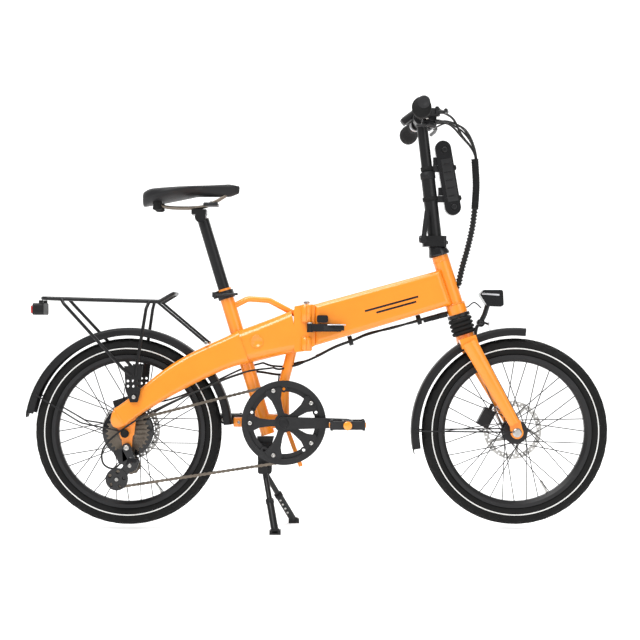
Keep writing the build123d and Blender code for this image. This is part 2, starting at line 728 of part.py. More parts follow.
# ---------------------------------------------------------------- brakes
def caliper(pads_x, pads_z, y, lean):
    """A disc caliper: a rounded body with a slot for the rotor and a cable arm."""
    with BuildPart() as body:
        turned = Plane(
            origin=(pads_x, y, pads_z), x_dir=(cos(radians(lean)), 0, sin(radians(lean))),
            z_dir=(0, 1, 0),
        )
        with Locations(turned):
            with Locations((0, 0, 3)):
                Box(52, 34, 28)
            with Locations((0, 0, 15)):
                Cylinder(13, 10)
            with Locations((20, 0, 14)):
                Box(44, 10, 4)
        disc(front_x if pads_x > 0 else rear_x, wheel_z, y - 3, y + 5, 82, mode=Mode.SUBTRACT)
    return body


front_caliper = caliper(front_x - 73, wheel_z + 34, rotor_y_front, 62)
front_caliper.part.label = "front_caliper"
export_step(front_caliper.part, "parts/front_caliper.step")

rear_caliper = caliper(rear_x - 20, wheel_z + 72, rotor_y_rear, 18)
rear_caliper.part.label = "rear_caliper"
export_step(rear_caliper.part, "parts/rear_caliper.step")


# ---------------------------------------------------------------- two-leg stand
stand_x = -143.0
stand_z = 163.0
with BuildPart() as kickstand_mount:
    with Locations((stand_x, 0, (stand_z + 235) / 2 - 6)):
        Box(38, 46, 235 - stand_z + 12)
    fillet(kickstand_mount.edges().filter_by(Axis.Y), 7)
    side_plate(((-162, 228), (-124, 228), (-118, 252), (-164, 252)), -16, 16)
kickstand_mount.part.label = "kickstand_mount"
export_step(kickstand_mount.part, "parts/kickstand_mount.step")


foot_y = 111.0


def stand_leg(side, foot_x):
    """A leg that drops beside the bracket, then splays out to its flat rubber foot."""
    with BuildPart() as leg:
        top_y = side * 34
        disc(stand_x, stand_z, *sorted((side * 23.5, side * 43)), 11)
        bent_rod(
            ((stand_x, top_y, stand_z), (stand_x + 4, side * 38, 140), (foot_x, side * (foot_y - 2), 6)), 7.5, 15,
        )
        share = 0.4
        sleeve_x = stand_x + 4 + (foot_x - stand_x - 4) * share
        sleeve_y = 38 + (foot_y - 40) * share
        bar((sleeve_x, side * sleeve_y, 140 - 134 * share), (foot_x, side * (foot_y - 2), 6), 10)
        with Locations((foot_x, side * foot_y, 6)):
            Box(30, 26, 12)
        with Locations((foot_x, side * foot_y, -20)):
            Box(90, 90, 40, mode=Mode.SUBTRACT)
    return leg


kickstand_leg_right = stand_leg(-1, -112)
kickstand_leg_right.part.label = "kickstand_leg_right"
export_step(kickstand_leg_right.part, "parts/kickstand_leg_right.step")

kickstand_leg_left = stand_leg(1, -66)
kickstand_leg_left.part.label = "kickstand_leg_left"
export_step(kickstand_leg_left.part, "parts/kickstand_leg_left.step")


# ---------------------------------------------------------------- front frame half
beam_half = 38.0
head_length = sqrt((head_low[0] - head_top[0]) ** 2 + (head_top[1] - head_low[1]) ** 2)
bore_low = along(head_low, head_top, -20)
bore_top = along(head_low, head_top, head_length + 20)

with BuildPart() as front_frame:
    side_plate(((-10, 499), (-10, 612), (334, 706), (366, 612)), -beam_half, beam_half)
    fillet(front_frame.edges().filter_by(Axis.Y, reverse=True).group_by(Axis.Y)[0], 15)
    fillet(front_frame.edges().filter_by(Axis.Y, reverse=True).group_by(Axis.Y)[-1], 15)
    # battery bay, open at the hinge end
    side_plate(((-20, 506), (-20, 605), (286, 687), (300, 604)), -33, 33, mode=Mode.SUBTRACT)
    # hinge plate that closes the bay, with the middle knuckle
    side_plate(((hinge_x + 0.1, hinge_low), (-9, 499), (-9, 612), (hinge_x + 0.1, hinge_high)), -40, 40)
    with Locations((-18, 0, 556)):
        Box(30, 50, 76, mode=Mode.SUBTRACT)
    bar((hinge_x, hinge_pin_y, 520.3), (hinge_x, hinge_pin_y, 578.7), 12)
    for z_low, z_high in ((480, 520.2), (578.8, 618)):
        bar((hinge_x, hinge_pin_y, z_low), (hinge_x, hinge_pin_y, z_high), 12.6, mode=Mode.SUBTRACT)
    bar((hinge_x, hinge_pin_y, 480), (hinge_x, hinge_pin_y, 620), hinge_pin_r, mode=Mode.SUBTRACT)
    # head tube with its lower ring
    bar((head_low[0], 0, head_low[1]), (head_top[0], 0, head_top[1]), head_tube_r)
    ring_top = along(head_low, head_top, 26)
    bar((head_low[0], 0, head_low[1]), (ring_top[0], 0, ring_top[1]), 27)
    bar((bore_low[0], 0, bore_low[1]), (bore_top[0], 0, bore_top[1]), 18, mode=Mode.SUBTRACT)
front_frame.part.label = "front_frame"
export_step(front_frame.part, "parts/front_frame.step")

with BuildPart() as battery_pack:
    side_plate(((4, 519), (4, 602), (198, 655), (206, 583)), -31, 31)
battery_pack.part.label = "battery_pack"
export_step(battery_pack.part, "parts/battery_pack.step")

with BuildPart() as controller:
    side_plate(((216, 590), (210, 640), (268, 655), (274, 606)), -28, 28)
controller.part.label = "controller"
export_step(controller.part, "parts/controller.step")

# Headset: two bearings between the head tube and the steerer.
with BuildPart() as headset:
    for low_at, high_at in ((2, 16), (head_length - 16, head_length - 2)):
        low = along(head_low, head_top, low_at)
        high = along(head_low, head_top, high_at)
        bar((low[0], 0, low[1]), (high[0], 0, high[1]), 18)
    bar((bore_low[0], 0, bore_low[1]), (bore_top[0], 0, bore_top[1]),
        steerer_r + running, mode=Mode.SUBTRACT)
headset.part.label = "headset"
export_step(headset.part, "parts/headset.step")

# The main latch: an upright cam barrel on the right face and a long flat lever.
latch_z = 549.0
latch_y = -41.0
with BuildPart() as main_latch:
    with Locations((23, latch_y - 9, latch_z)):
        Box(86, 10, 21)
    fillet(main_latch.edges().filter_by(Axis.Y), 4)
    bar((-20, latch_y - 9, latch_z - 12), (-20, latch_y - 9, latch_z + 12), 8)
    with Locations((56, latch_y - 15, latch_z + 2)):
        Box(26, 6, 12)
main_latch.part.label = "main_latch"
export_step(main_latch.part, "parts/main_latch.step")

with BuildPart() as safety_catch:
    with Locations((14, latch_y - 6, latch_z + 24)):
        Box(30, 12, 20)
    fillet(safety_catch.edges().filter_by(Axis.Y), 5)
safety_catch.part.label = "safety_catch"
export_step(safety_catch.part, "parts/safety_catch.step")

# Cables under the beam: a bundle held by clips, ending in a connector cluster.
with BuildPart() as frame_harness:
    bent_rod(
        ((352, 0, 572), (268, 0, 566), (204, 0, 549), (91, 0, 512), (16, -4, 478), (-6, -10, 470)), 6, 30,
    )
    with Locations(Plane(origin=(318, 0, 580), x_dir=(0.963, 0, 0.27), z_dir=(0, 1, 0))):
        Box(52, 20, 26)
frame_harness.part.label = "frame_harness"
export_step(frame_harness.part, "parts/frame_harness.step")


# ---------------------------------------------------------------- steering and fork
def on_axis(distance):
    """A point on the steering axis, a distance above the head tube's lower end."""
    x, z = along(head_low, head_top, distance)
    return (x, 0, z)


fork_tube_r = 12.0       # the fork's own tube, which slides inside the steerer
stem_z = 783.0           # where the handlepost's hinge faces meet
stem_thick = 13.0

# The handlepost turns about a short diagonal pin at the stem's front left corner.
fold_corner = (350.0, 25.0)
knuckle_r = 5.5
knuckle_half = 4.0       # half the length of the middle knuckle
knuckle_reach = 9.0      # from the middle to an outer knuckle's end
knuckle_gap = 0.2
fold_pin_r = 2.5


def fold_point(distance):
    """A point on the handlepost's fold axis."""
    step = distance * cos(radians(45))
    return (fold_corner[0] + step, fold_corner[1] - step, stem_z)


with BuildPart() as steerer:
    bar(on_axis(-6), on_axis(head_length + 30), steerer_r)
    bar(on_axis(head_length + 1), on_axis(head_length + 14), 23)
    bar(on_axis(head_length + 14), on_axis(head_length + 30), 21)
    with BuildSketch(Plane.XY.offset(stem_z - stem_thick)):
        with Locations((320, 0)):
            RectangleRounded(64, 54, 8)
    extrude(amount=stem_thick)
    for side in (1, -1):
        bar(
            fold_point(side * knuckle_half), fold_point(side * (knuckle_reach + 0.5)),
            knuckle_r + 0.5, mode=Mode.SUBTRACT,
        )
    bar(fold_point(-knuckle_half), fold_point(knuckle_half), knuckle_r)
    bar(fold_point(-knuckle_reach), fold_point(knuckle_reach), fold_pin_r)
    bar(on_axis(-10), on_axis(-1), 31)
    bar(on_axis(-12), on_axis(104), fork_tube_r + running, mode=Mode.SUBTRACT)
steerer.part.label = "steerer"
export_step(steerer.part, "parts/steerer.step")

boot_low = -58.0
with BuildPart() as fork_boot:
    bar(on_axis(boot_low), on_axis(-11), 30)
    for n in range(4):
        bar(on_axis(boot_low + 2 + 12 * n), on_axis(boot_low + 8 + 12 * n), 33)
    bar(on_axis(boot_low - 5), on_axis(0), fork_tube_r + 0.5, mode=Mode.SUBTRACT)
fork_boot.part.label = "fork_boot"
export_step(fork_boot.part, "parts/fork_boot.step")

# The fork: a crown below the boot, shoulders and two tapered legs.
leg_y = 59.0
with BuildPart() as fork:
    bar(on_axis(boot_low - 24), on_axis(boot_low - 0.5), 26)
    crown = on_axis(boot_low - 22)
    with Locations(Plane(origin=crown, x_dir=(0, 1, 0), z_dir=(-0.3017, 0, 0.9534))):
        Box(2 * leg_y + 8, 46, 26)
    for side in (1, -1):
        low = Vector(front_x - 7, side * leg_y, wheel_z + 24)
        high = Vector(crown[0], side * leg_y, crown[2])
        run = high - low
        with BuildSketch(Plane(origin=low, x_dir=(0, 1, 0), z_dir=run)) as leg_low:
            Ellipse(8.5, 15)
        with BuildSketch(Plane(origin=low + run * 0.6, x_dir=(0, 1, 0), z_dir=run)) as leg_mid:
            Ellipse(10.5, 19)
        with BuildSketch(Plane(origin=high, x_dir=(0, 1, 0), z_dir=run)) as leg_high:
            Ellipse(12, 22)
        loft([leg_low.sketch, leg_mid.sketch, leg_high.sketch])
        tip_low, tip_high = sorted((side * 51, side * 58.5))
        disc(front_x, wheel_z, tip_low, tip_high, 17)
        side_plate(
            ((front_x - 17, wheel_z), (front_x - 22, wheel_z + 34), (front_x + 8, wheel_z + 34),
             (front_x + 17, wheel_z)), tip_low, tip_high,
        )
    disc(front_x, wheel_z, -60, 60, front_axle_r, mode=Mode.SUBTRACT)
    disc(front_x, wheel_z, -33, 33, guard_r + 4, mode=Mode.SUBTRACT)
    bar(on_axis(boot_low - 4), on_axis(62), fork_tube_r)
fork.part.label = "fork"
export_step(fork.part, "parts/fork.step")

front_guard_start = 84.0
front_guard_end = 190.0
front_channel = mudguard(front_x, front_guard_start, front_guard_end, guard_w, 2)
with BuildPart() as front_mudguard:
    add(front_channel.part)
    grip_angle = radians(180)
    for side in (1, -1):
        grip_x = front_x + (guard_r - 12) * cos(grip_angle)
        bent_rod(
            ((grip_x, side * (guard_w / 2 + 1), wheel_z + 2), (front_x - 120, side * 52, wheel_z + 2),
             (front_x - 14, side * 66.5, wheel_z + 2)), 2, 40,
        )
        disc(grip_x, wheel_z + 2, *sorted((side * (guard_w / 2 - 3), side * (guard_w / 2 + 3))), 5)
front_mudguard.part.label = "front_mudguard"
export_step(front_mudguard.part, "parts/front_mudguard.step")

# Headlight: a wedge-shaped lamp on a stalk in front of the crown.
with BuildPart() as headlight:
    side_plate(
        ((442, 640), (452, 652), (505, 652), (507, 610), (498, 606), (462, 608)), -27, 27,
    )
    fillet(headlight.edges().filter_by(Axis.Y), 6)
    bent_rod(((466, 0, 612), (458, 0, 586), (446, 0, 562)), 7, 8)
    disc(446, 562, -14, 14, 11)
headlight.part.label = "headlight"
export_step(headlight.part, "parts/headlight.step")


# ---------------------------------------------------------------- handlepost and bars
post_length = sqrt((post_low[0] - post_top[0]) ** 2 + (post_top[1] - post_low[1]) ** 2)
neck = along(post_low, post_top, 170)
bar_clamp = along(post_low, post_top, post_length - 24)
bore_foot = along(post_low, neck, -20)
bore_step = along(neck, post_low, 4)
bore_head = along(bar_clamp, neck, 30)
with BuildPart() as handlepost:
    with BuildSketch(Plane.XY.offset(stem_z + 0.1)):
        with Locations((320, 0)):
            RectangleRounded(64, 54, 8)
    extrude(amount=16)
    bar(
        fold_point(-knuckle_half - knuckle_gap), fold_point(knuckle_half + knuckle_gap),
        knuckle_r + 0.5, mode=Mode.SUBTRACT,
    )
    for side in (1, -1):
        bar(fold_point(side * (knuckle_half + knuckle_gap)), fold_point(side * knuckle_reach), knuckle_r)
    bar(
        fold_point(-knuckle_reach - 2), fold_point(knuckle_reach + 2),
        fold_pin_r + running, mode=Mode.SUBTRACT,
    )
    bar((post_low[0], 0, post_low[1]), (neck[0], 0, neck[1]), 19)
    bar((neck[0], 0, neck[1]), (bar_clamp[0], 0, bar_clamp[1]), 15)
    disc(bar_clamp[0], bar_clamp[1], -24, 24, 22)
    disc(bar_clamp[0], bar_clamp[1], -30, 30, clamp_r, mode=Mode.SUBTRACT)
    # the post is a stepped tube, open below
    bar((bore_foot[0], 0, bore_foot[1]), (bore_step[0], 0, bore_step[1]), 15.5, mode=Mode.SUBTRACT)
    bar((bore_step[0], 0, bore_step[1]), (bore_head[0], 0, bore_head[1]), 12, mode=Mode.SUBTRACT)
handlepost.part.label = "handlepost"
export_step(handlepost.part, "parts/handlepost.step")

with BuildPart() as handlepost_latch:
    disc(288, 786, -38, -29, 9)
    bar((288, -33, 786), (298, -33, 866), 7)
handlepost_latch.part.label = "handlepost_latch"
export_step(handlepost_latch.part, "parts/handlepost_latch.step")

bar_x, bar_z = bar_clamp
with BuildPart() as handlebar:
    disc(bar_x, bar_z, -34, 34, clamp_r)
    for side in (1, -1):
        bent_rod(
            ((bar_x, side * 30, bar_z), (bar_x + 1, side * 90, bar_z),
             (bar_x - 13, side * (bar_end_y - 4), bar_z + 2)), bar_r, 60,
        )
handlebar.part.label = "handlebar"
export_step(handlebar.part, "parts/handlebar.step")


def bar_point(y):
    """The bar's centre at a Y on its straight outer stretch."""
    share = (abs(y) - 90) / (bar_end_y - 4 - 90)
    return (bar_x + 1 - 14 * share, y, bar_z + 2 * share)


with BuildPart() as grips:
    for side in (1, -1):
        inner = bar_point(side * 172)
        outer = bar_point(side * (bar_end_y - 2))
        bar(inner, outer, 16)
        palm = bar_point(side * 250)
        with Locations((palm[0] - 22, palm[1], palm[2] - 2)):
            Box(24, 70, 12)
        bar(inner, outer, bar_r, mode=Mode.SUBTRACT)
        cap_low, cap_high = sorted((side * (bar_end_y - 2), side * bar_end_y))
        disc(outer[0], outer[2], cap_low, cap_high, 15)
grips.part.label = "grips"
export_step(grips.part, "parts/grips.step")

lever_pivot_x = bar_x + 32
lever_pivot_z = bar_z - 4
with BuildPart() as brake_brackets:
    for side in (1, -1):
        ring_low, ring_high = side * 132, side * 150
        bar(bar_point(min(ring_low, ring_high, key=abs)), bar_point(max(ring_low, ring_high, key=abs)), 17)
        with Locations((bar_x + 22, side * 142, lever_pivot_z)):
            Box(34, 22, 20)
        bar(bar_point(side * 100), bar_point(side * 180), bar_r, mode=Mode.SUBTRACT)
        with Locations((lever_pivot_x + 6, side * 146, lever_pivot_z)):
            Box(26, 18, 12, mode=Mode.SUBTRACT)
        with Locations((lever_pivot_x, side * 146, lever_pivot_z)):
            Cylinder(3, 24, mode=Mode.ADD)
brake_brackets.part.label = "brake_brackets"
export_step(brake_brackets.part, "parts/brake_brackets.step")


def brake_lever(side):
    """A lever blade that hooks forward and out along the grip."""
    with BuildPart() as lever:
        with Locations((lever_pivot_x, side * 146, lever_pivot_z)):
            Cylinder(7, 11)
        bent_rod(
            ((lever_pivot_x, side * 146, lever_pivot_z), (lever_pivot_x + 22, side * 166, lever_pivot_z - 3),
             (lever_pivot_x + 20, side * 205, lever_pivot_z - 8),
             (lever_pivot_x + 14, side * 250, lever_pivot_z - 10)), 5, 14,
        )
        with Locations((lever_pivot_x, side * 146, lever_pivot_z)):
            Cylinder(3 + running, 30, mode=Mode.SUBTRACT)
    return lever


brake_lever_right = brake_lever(-1)
brake_lever_right.part.label = "brake_lever_right"
export_step(brake_lever_right.part, "parts/brake_lever_right.step")

brake_lever_left = brake_lever(1)
brake_lever_left.part.label = "brake_lever_left"
export_step(brake_lever_left.part, "parts/brake_lever_left.step")

# A display on the left of the clamp, tilted back to the rider.
with BuildPart() as display:
    with Locations(Plane(origin=(bar_x - 22, 70, bar_z + 16), x_dir=(0.8, 0, 0.6), z_dir=(-0.6, 0, 0.8))):
        Box(64, 48, 18)
    fillet(display.edges().filter_by(Axis.Y, reverse=True).filter_by(GeomType.LINE), 3)
    bar((bar_x, 50, bar_z), (bar_x, 60, bar_z), 17)
    disc(bar_x, bar_z, 40, 100, clamp_r + 0.5, mode=Mode.SUBTRACT)
display.part.label = "display"
export_step(display.part, "parts/display.step")

with BuildPart() as shifter:
    bar(bar_point(-112), bar_point(-128), 17)
    with Locations((bar_x + 14, -115, bar_z - 24)):
        Box(36, 26, 22)
    bar(bar_point(-100), bar_point(-150), bar_r, mode=Mode.SUBTRACT)
shifter.part.label = "shifter"
export_step(shifter.part, "parts/shifter.step")

# The folding lock in its holder, in front of the post.
lock_top = (341.0, 1049.0)
lock_low = (372.0, 866.0)
with BuildPart() as folding_lock:
    lean = Vector(lock_top[0] - lock_low[0], 0, lock_top[1] - lock_low[1])
    centre = ((lock_top[0] + lock_low[0]) / 2, 0, (lock_top[1] + lock_low[1]) / 2)
    with BuildSketch(Plane(origin=centre, x_dir=lean, z_dir=(0, 1, 0))) as capsule:
        SlotOverall(206, 44)
    extrude(capsule.sketch, amount=15, both=True)
    for share in (0.3, 0.75):
        x = lock_low[0] + (lock_top[0] - lock_low[0]) * share
        z = lock_low[1] + (lock_top[1] - lock_low[1]) * share
        with Locations((x - 23.7, 0, z)):
            Box(17.4, 16, 22)
folding_lock.part.label = "folding_lock"
export_step(folding_lock.part, "parts/folding_lock.step")

# The bundle of brake, shift and display cables from the bars to the head tube.
with BuildPart() as control_cables:
    bent_rod(
        ((300, -30, 1090), (388, 0, 1066), (430, 0, 1005), (432, 0, 880), (414, 0, 790), (392, 0, 708)),
        6, 35,
    )
control_cables.part.label = "control_cables"
export_step(control_cables.part, "parts/control_cables.step")
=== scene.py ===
import json
from math import asin, atan2, cos, pi, radians, sin, sqrt

import bmesh
import bpy
from mathutils import Matrix, Vector


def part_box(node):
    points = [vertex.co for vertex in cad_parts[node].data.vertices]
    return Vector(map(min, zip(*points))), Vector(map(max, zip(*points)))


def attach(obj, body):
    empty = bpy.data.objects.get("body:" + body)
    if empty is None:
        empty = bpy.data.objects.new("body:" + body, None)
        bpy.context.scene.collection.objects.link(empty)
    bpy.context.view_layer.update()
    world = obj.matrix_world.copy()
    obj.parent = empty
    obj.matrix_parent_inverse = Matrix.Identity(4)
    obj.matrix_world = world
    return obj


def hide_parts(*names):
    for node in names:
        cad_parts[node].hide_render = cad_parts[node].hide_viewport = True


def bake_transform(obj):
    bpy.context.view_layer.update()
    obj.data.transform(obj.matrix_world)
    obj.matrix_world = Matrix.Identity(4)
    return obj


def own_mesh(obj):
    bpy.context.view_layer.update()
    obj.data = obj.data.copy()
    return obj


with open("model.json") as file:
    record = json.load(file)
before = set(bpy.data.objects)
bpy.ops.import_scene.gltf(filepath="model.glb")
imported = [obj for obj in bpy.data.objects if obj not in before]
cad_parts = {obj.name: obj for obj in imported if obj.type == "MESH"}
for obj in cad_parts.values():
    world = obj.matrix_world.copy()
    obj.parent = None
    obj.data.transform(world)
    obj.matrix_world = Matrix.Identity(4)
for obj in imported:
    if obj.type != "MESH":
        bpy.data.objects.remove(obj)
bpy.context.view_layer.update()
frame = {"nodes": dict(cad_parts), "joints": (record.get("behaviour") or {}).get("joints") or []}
nodes = frame["nodes"]
SIDES = ((1, "left"), (-1, "right"))


def show(item):
    bpy.context.scene.collection.objects.link(item)


def radial(angle):
    """A unit vector in the plane of the wheels."""
    return Vector((cos(angle), 0, sin(angle)))


# ---- places from the frame
def centre(node):
    """The middle of a node's box at rest."""
    low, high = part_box(node)
    return (low + high) / 2


def joint(name):
    return next(j for j in frame["joints"] if j["name"] == name)


def joint_at(name):
    return Vector(joint(name)["pos_m"])


rear_hub = joint_at("rear_wheel_spin")
front_hub = joint_at("front_wheel_spin")
crank_at = joint_at("crank_spin")
guide_at = joint_at("guide_pulley_spin")
tension_at = joint_at("tension_pulley_spin")
steer_at = joint_at("steering")
steer_up = Vector(joint("steering")["axis"])
post_up = Vector((-0.1136, 0, 0.9935))
POST_X, POST_Z = 0.322, 0.792  # where the handlepost's tube starts
seat_up = Vector(joint("seatpost_slide")["axis"])
tyre_r = (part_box("rear_tyre")[1].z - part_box("rear_tyre")[0].z) / 2
tyre_half = (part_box("rear_tyre")[1].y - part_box("rear_tyre")[0].y) / 2


# ---- materials
def put(node, values):
    """Sets a shader node's inputs by name."""
    for name, value in values.items():
        node.inputs[name].default_value = value


def material(name, colour, rough, metal=0.0, grain=900.0, bump=0.08, mottle=0.18, coat=0.0,
             stretch=(1, 1, 1), shine=0.5, cells=False):
    """A procedural finish: mottled colour, uneven roughness and a fine bump."""
    mat = bpy.data.materials.new(name)
    mat.use_nodes = True
    tree = mat.node_tree
    shader = tree.nodes["Principled BSDF"]

    def add(kind, values):
        node = tree.nodes.new("ShaderNode" + kind)
        put(node, values)
        return node

    def link(source, output, target, into):
        tree.links.new(source.outputs[output], target.inputs[into])

    place = add("TexCoord", {})
    mapping = add("Mapping", {"Scale": stretch})
    link(place, "Object", mapping, "Vector")

    broad = add("TexNoise", {"Scale": 14.0, "Detail": 4.0})
    link(mapping, "Vector", broad, "Vector")
    ramp = add("ValToRGB", {})
    for element, position, share in zip(ramp.color_ramp.elements, (0.3, 0.7), (1 - mottle, 1 + mottle)):
        element.position = position
        element.color = (*(min(1.0, c * share) for c in colour), 1)
    link(broad, "Fac", ramp, "Fac")
    link(ramp, "Color", shader, "Base Color")

    uneven = add("MapRange", {"To Min": rough * 0.8, "To Max": min(1.0, rough * 1.25)})
    link(broad, "Fac", uneven, "Value")
    link(uneven, "Result", shader, "Roughness")

    fine = add("TexVoronoi", {}) if cells else add("TexNoise", {"Detail": 3.0})
    put(fine, {"Scale": grain})
    link(mapping, "Vector", fine, "Vector")
    relief = add("Bump", {"Strength": bump, "Distance": 0.0004})
    link(fine, "Distance" if cells else "Fac", relief, "Height")
    link(relief, "Normal", shader, "Normal")

    put(shader, {"Metallic": metal, "Coat Weight": coat, "Coat Roughness": 0.06, "Specular IOR Level": shine})
    return mat


orange = material("paint_orange", (0.92, 0.27, 0.008), 0.34, grain=260, bump=0.05, mottle=0.04, coat=0.55)
black_paint = material("paint_black", (0.006, 0.006, 0.0065), 0.34, grain=700, bump=0.1, coat=0.06,
                       shine=0.32)
black_satin = material("anodised_black", (0.01, 0.01, 0.011), 0.4, grain=900, bump=0.1, shine=0.4)
plastic = material("plastic_black", (0.008, 0.008, 0.009), 0.52, grain=1500, bump=0.3, shine=0.28)
plastic_grey = material("plastic_grey", (0.018, 0.018, 0.019), 0.5, grain=1500, bump=0.3, shine=0.3)
gloss_black = material("plastic_gloss", (0.005, 0.005, 0.006), 0.2, grain=300, bump=0.03, coat=0.15,
                       shine=0.4)
rubber = material("rubber_black", (0.008, 0.008, 0.008), 0.7, grain=1200, bump=0.35, shine=0.22)
tread_rubber = material("tyre_rubber", (0.008, 0.008, 0.008), 0.8, grain=900, bump=0.5, shine=0.22)
steel = material("steel_brushed", (0.56, 0.55, 0.53), 0.3, metal=1.0, grain=500, stretch=(1, 12, 1))
dark_steel = material("steel_dark", (0.16, 0.135, 0.11), 0.36, metal=1.0, grain=600, mottle=0.35)
alloy = material("alloy_silver", (0.62, 0.62, 0.64), 0.28, metal=1.0, grain=500, mottle=0.08)
stripe_white = material("reflective_white", (0.78, 0.78, 0.76), 0.45, grain=2500, bump=0.2, mottle=0.05)
leather = material("saddle_leather", (0.009, 0.009, 0.01), 0.48, grain=520, bump=0.5, shine=0.3, cells=True)
leather_grey = material("saddle_panel", (0.018, 0.018, 0.019), 0.56, grain=650, bump=0.5, shine=0.3,
                        cells=True)
red_lens = material("lens_red", (0.5, 0.008, 0.006), 0.12, grain=330, bump=0.6, coat=1.0, cells=True)
amber = material("reflector_amber", (0.95, 0.3, 0.01), 0.18, grain=420, bump=0.7, coat=1.0, cells=True)
clear_lens = material("lens_clear", (0.72, 0.74, 0.76), 0.08, grain=260, bump=0.4, coat=1.0, cells=True)
screen = material("display_screen", (0.045, 0.055, 0.05), 0.1, grain=200, bump=0.02, coat=1.0)
cable_black = material("cable_housing", (0.008, 0.008, 0.008), 0.4, grain=800, bump=0.15, shine=0.3)

node_finishes = (
    (orange, "rear_frame front_frame fork"),
    (black_satin, "rear_rim front_rim rear_spokes front_spokes rear_hub_shell front_hub chainring "
                  "crank_right crank_left seat_clamp seat_clamp_lever rear_caliper front_caliper "
                  "kickstand_mount bottom_bracket headset brake_brackets brake_lever_right brake_lever_left"),
    (steel, "rear_rotor front_rotor front_axle main_hinge_pin"),
    (dark_steel, "motor_stator cassette chain"),
    (plastic_grey, "pedal_right pedal_left"),
    (plastic, "guide_pulley tension_pulley rear_light rear_mudguard front_mudguard battery_pack "
              "controller main_latch safety_catch display shifter handlepost_latch"),
    (gloss_black, "rear_derailleur headlight folding_lock"),
    (black_paint, "seatpost rack kickstand_leg_right kickstand_leg_left steerer handlepost handlebar"),
    (leather, "saddle"),
    (rubber, "fork_boot grips"),
    (cable_black, "frame_harness control_cables"),
    (tread_rubber, "front_tyre rear_tyre"),
)
for node_finish, names in node_finishes:
    for node_name in names.split():
        nodes[node_name].data.materials.clear()
        nodes[node_name].data.materials.append(node_finish)


# ---- piece helpers
def finish_piece(piece, body, finish, smooth=True):
    """Hands a piece its finish, its smoothing and the body it moves with."""
    if piece.type == "MESH":
        piece.data.materials.clear()
        piece.data.materials.append(finish)
        for face in piece.data.polygons:
            face.use_smooth = smooth
    else:
        piece.data.materials.append(finish)
    if body:
        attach(piece, body)
    return piece


def mesh_piece(name, verts, faces, body, finish, smooth=True):
    mesh = bpy.data.meshes.new(name)
    mesh.from_pydata([tuple(v) for v in verts], [], faces)
    mesh.validate()
    mesh.update()
    piece = bpy.data.objects.new(name, mesh)
    show(piece)
    fix = bmesh.new()
    fix.from_mesh(mesh)
    bmesh.ops.recalc_face_normals(fix, faces=fix.faces)
    fix.to_mesh(mesh)
    fix.free()
    return finish_piece(piece, body, finish, smooth)


def bevelled(piece, width, segments=3):
    """Rounds a piece's sharp edges."""
    edge = piece.modifiers.new("round", "BEVEL")
    edge.width = width
    edge.segments = segments
    edge.limit_method = "ANGLE"
    edge.angle_limit = radians(35)
    return piece


def rings(sections, closed_path=False, capped=True):
    """Skins a list of equal rings into verts and faces."""
    count = len(sections[0])
    verts = [point for section in sections for point in section]
    faces = []
    last = len(sections) if closed_path else len(sections) - 1
    for i in range(last):
        a = i * count
        b = ((i + 1) % len(sections)) * count
        for j in range(count):
            k = (j + 1) % count
            faces.append((a + j, a + k, b + k, b + j))
    if capped and not closed_path:
        faces.append(tuple(range(count)))
        faces.append(tuple(range((len(sections) - 1) * count, len(sections) * count)))
    return verts, faces


def skin(name, sections, body, finish, closed_path=False, smooth=True):
    """Skins a list of rings into one piece."""
    verts, faces = rings(sections, closed_path)
    return mesh_piece(name, verts, faces, body, finish, smooth)


def turned(angle, axis="Y"):
    """A turn by degrees about an axis."""
    return Matrix.Rotation(radians(angle), 3, axis)


def frame_of(direction):
    """Two unit vectors across a direction."""
    along = Vector(direction).normalized()
    side = Vector((0, 1, 0)).cross(along)
    if side.length < 1e-4:
        side = Vector((0, 0, 1)).cross(along)
    side.normalize()
    return side, along.cross(side)


def lathe(name, at, direction, profile, body, finish, steps=48):
    """Turns (distance along, radius) pairs round a line."""
    along = Vector(direction).normalized()
    u, v = frame_of(along)
    sections = []
    for reach, radius in profile:
        middle = Vector(at) + along * reach
        sections.append([
            middle + (u * cos(2 * pi * i / steps) + v * sin(2 * pi * i / steps)) * radius
            for i in range(steps)
        ])
    return skin(name, sections, body, finish)


def block(name, at, size, body, finish, turn=None, round_by=0.002):
    """A rounded block, turned by a matrix."""
    half = Vector(size) / 2
    verts = []
    for x in (-1, 1):
        for y in (-1, 1):
            for z in (-1, 1):
                corner = Vector((x * half.x, y * half.y, z * half.z))
                verts.append(Vector(at) + (turn @ corner if turn else corner))
    faces = [(0, 1, 3, 2), (4, 6, 7, 5), (0, 4, 5, 1), (2, 3, 7, 6), (0, 2, 6, 4), (1, 5, 7, 3)]
    piece = mesh_piece(name, verts, faces, body, finish)
    return bevelled(piece, round_by)


def cap_screw(name, at, direction, radius, body, finish=None):
    """A domed screw head with a socket."""
    profile = [
        (0, radius), (radius * 0.7, radius), (radius * 0.95, radius * 0.8),
        (radius * 0.95, radius * 0.5), (radius * 0.5, radius * 0.46), (radius * 0.45, 0.0001),
    ]
    return lathe(name, at, direction, profile, body, finish or steel, steps=12)


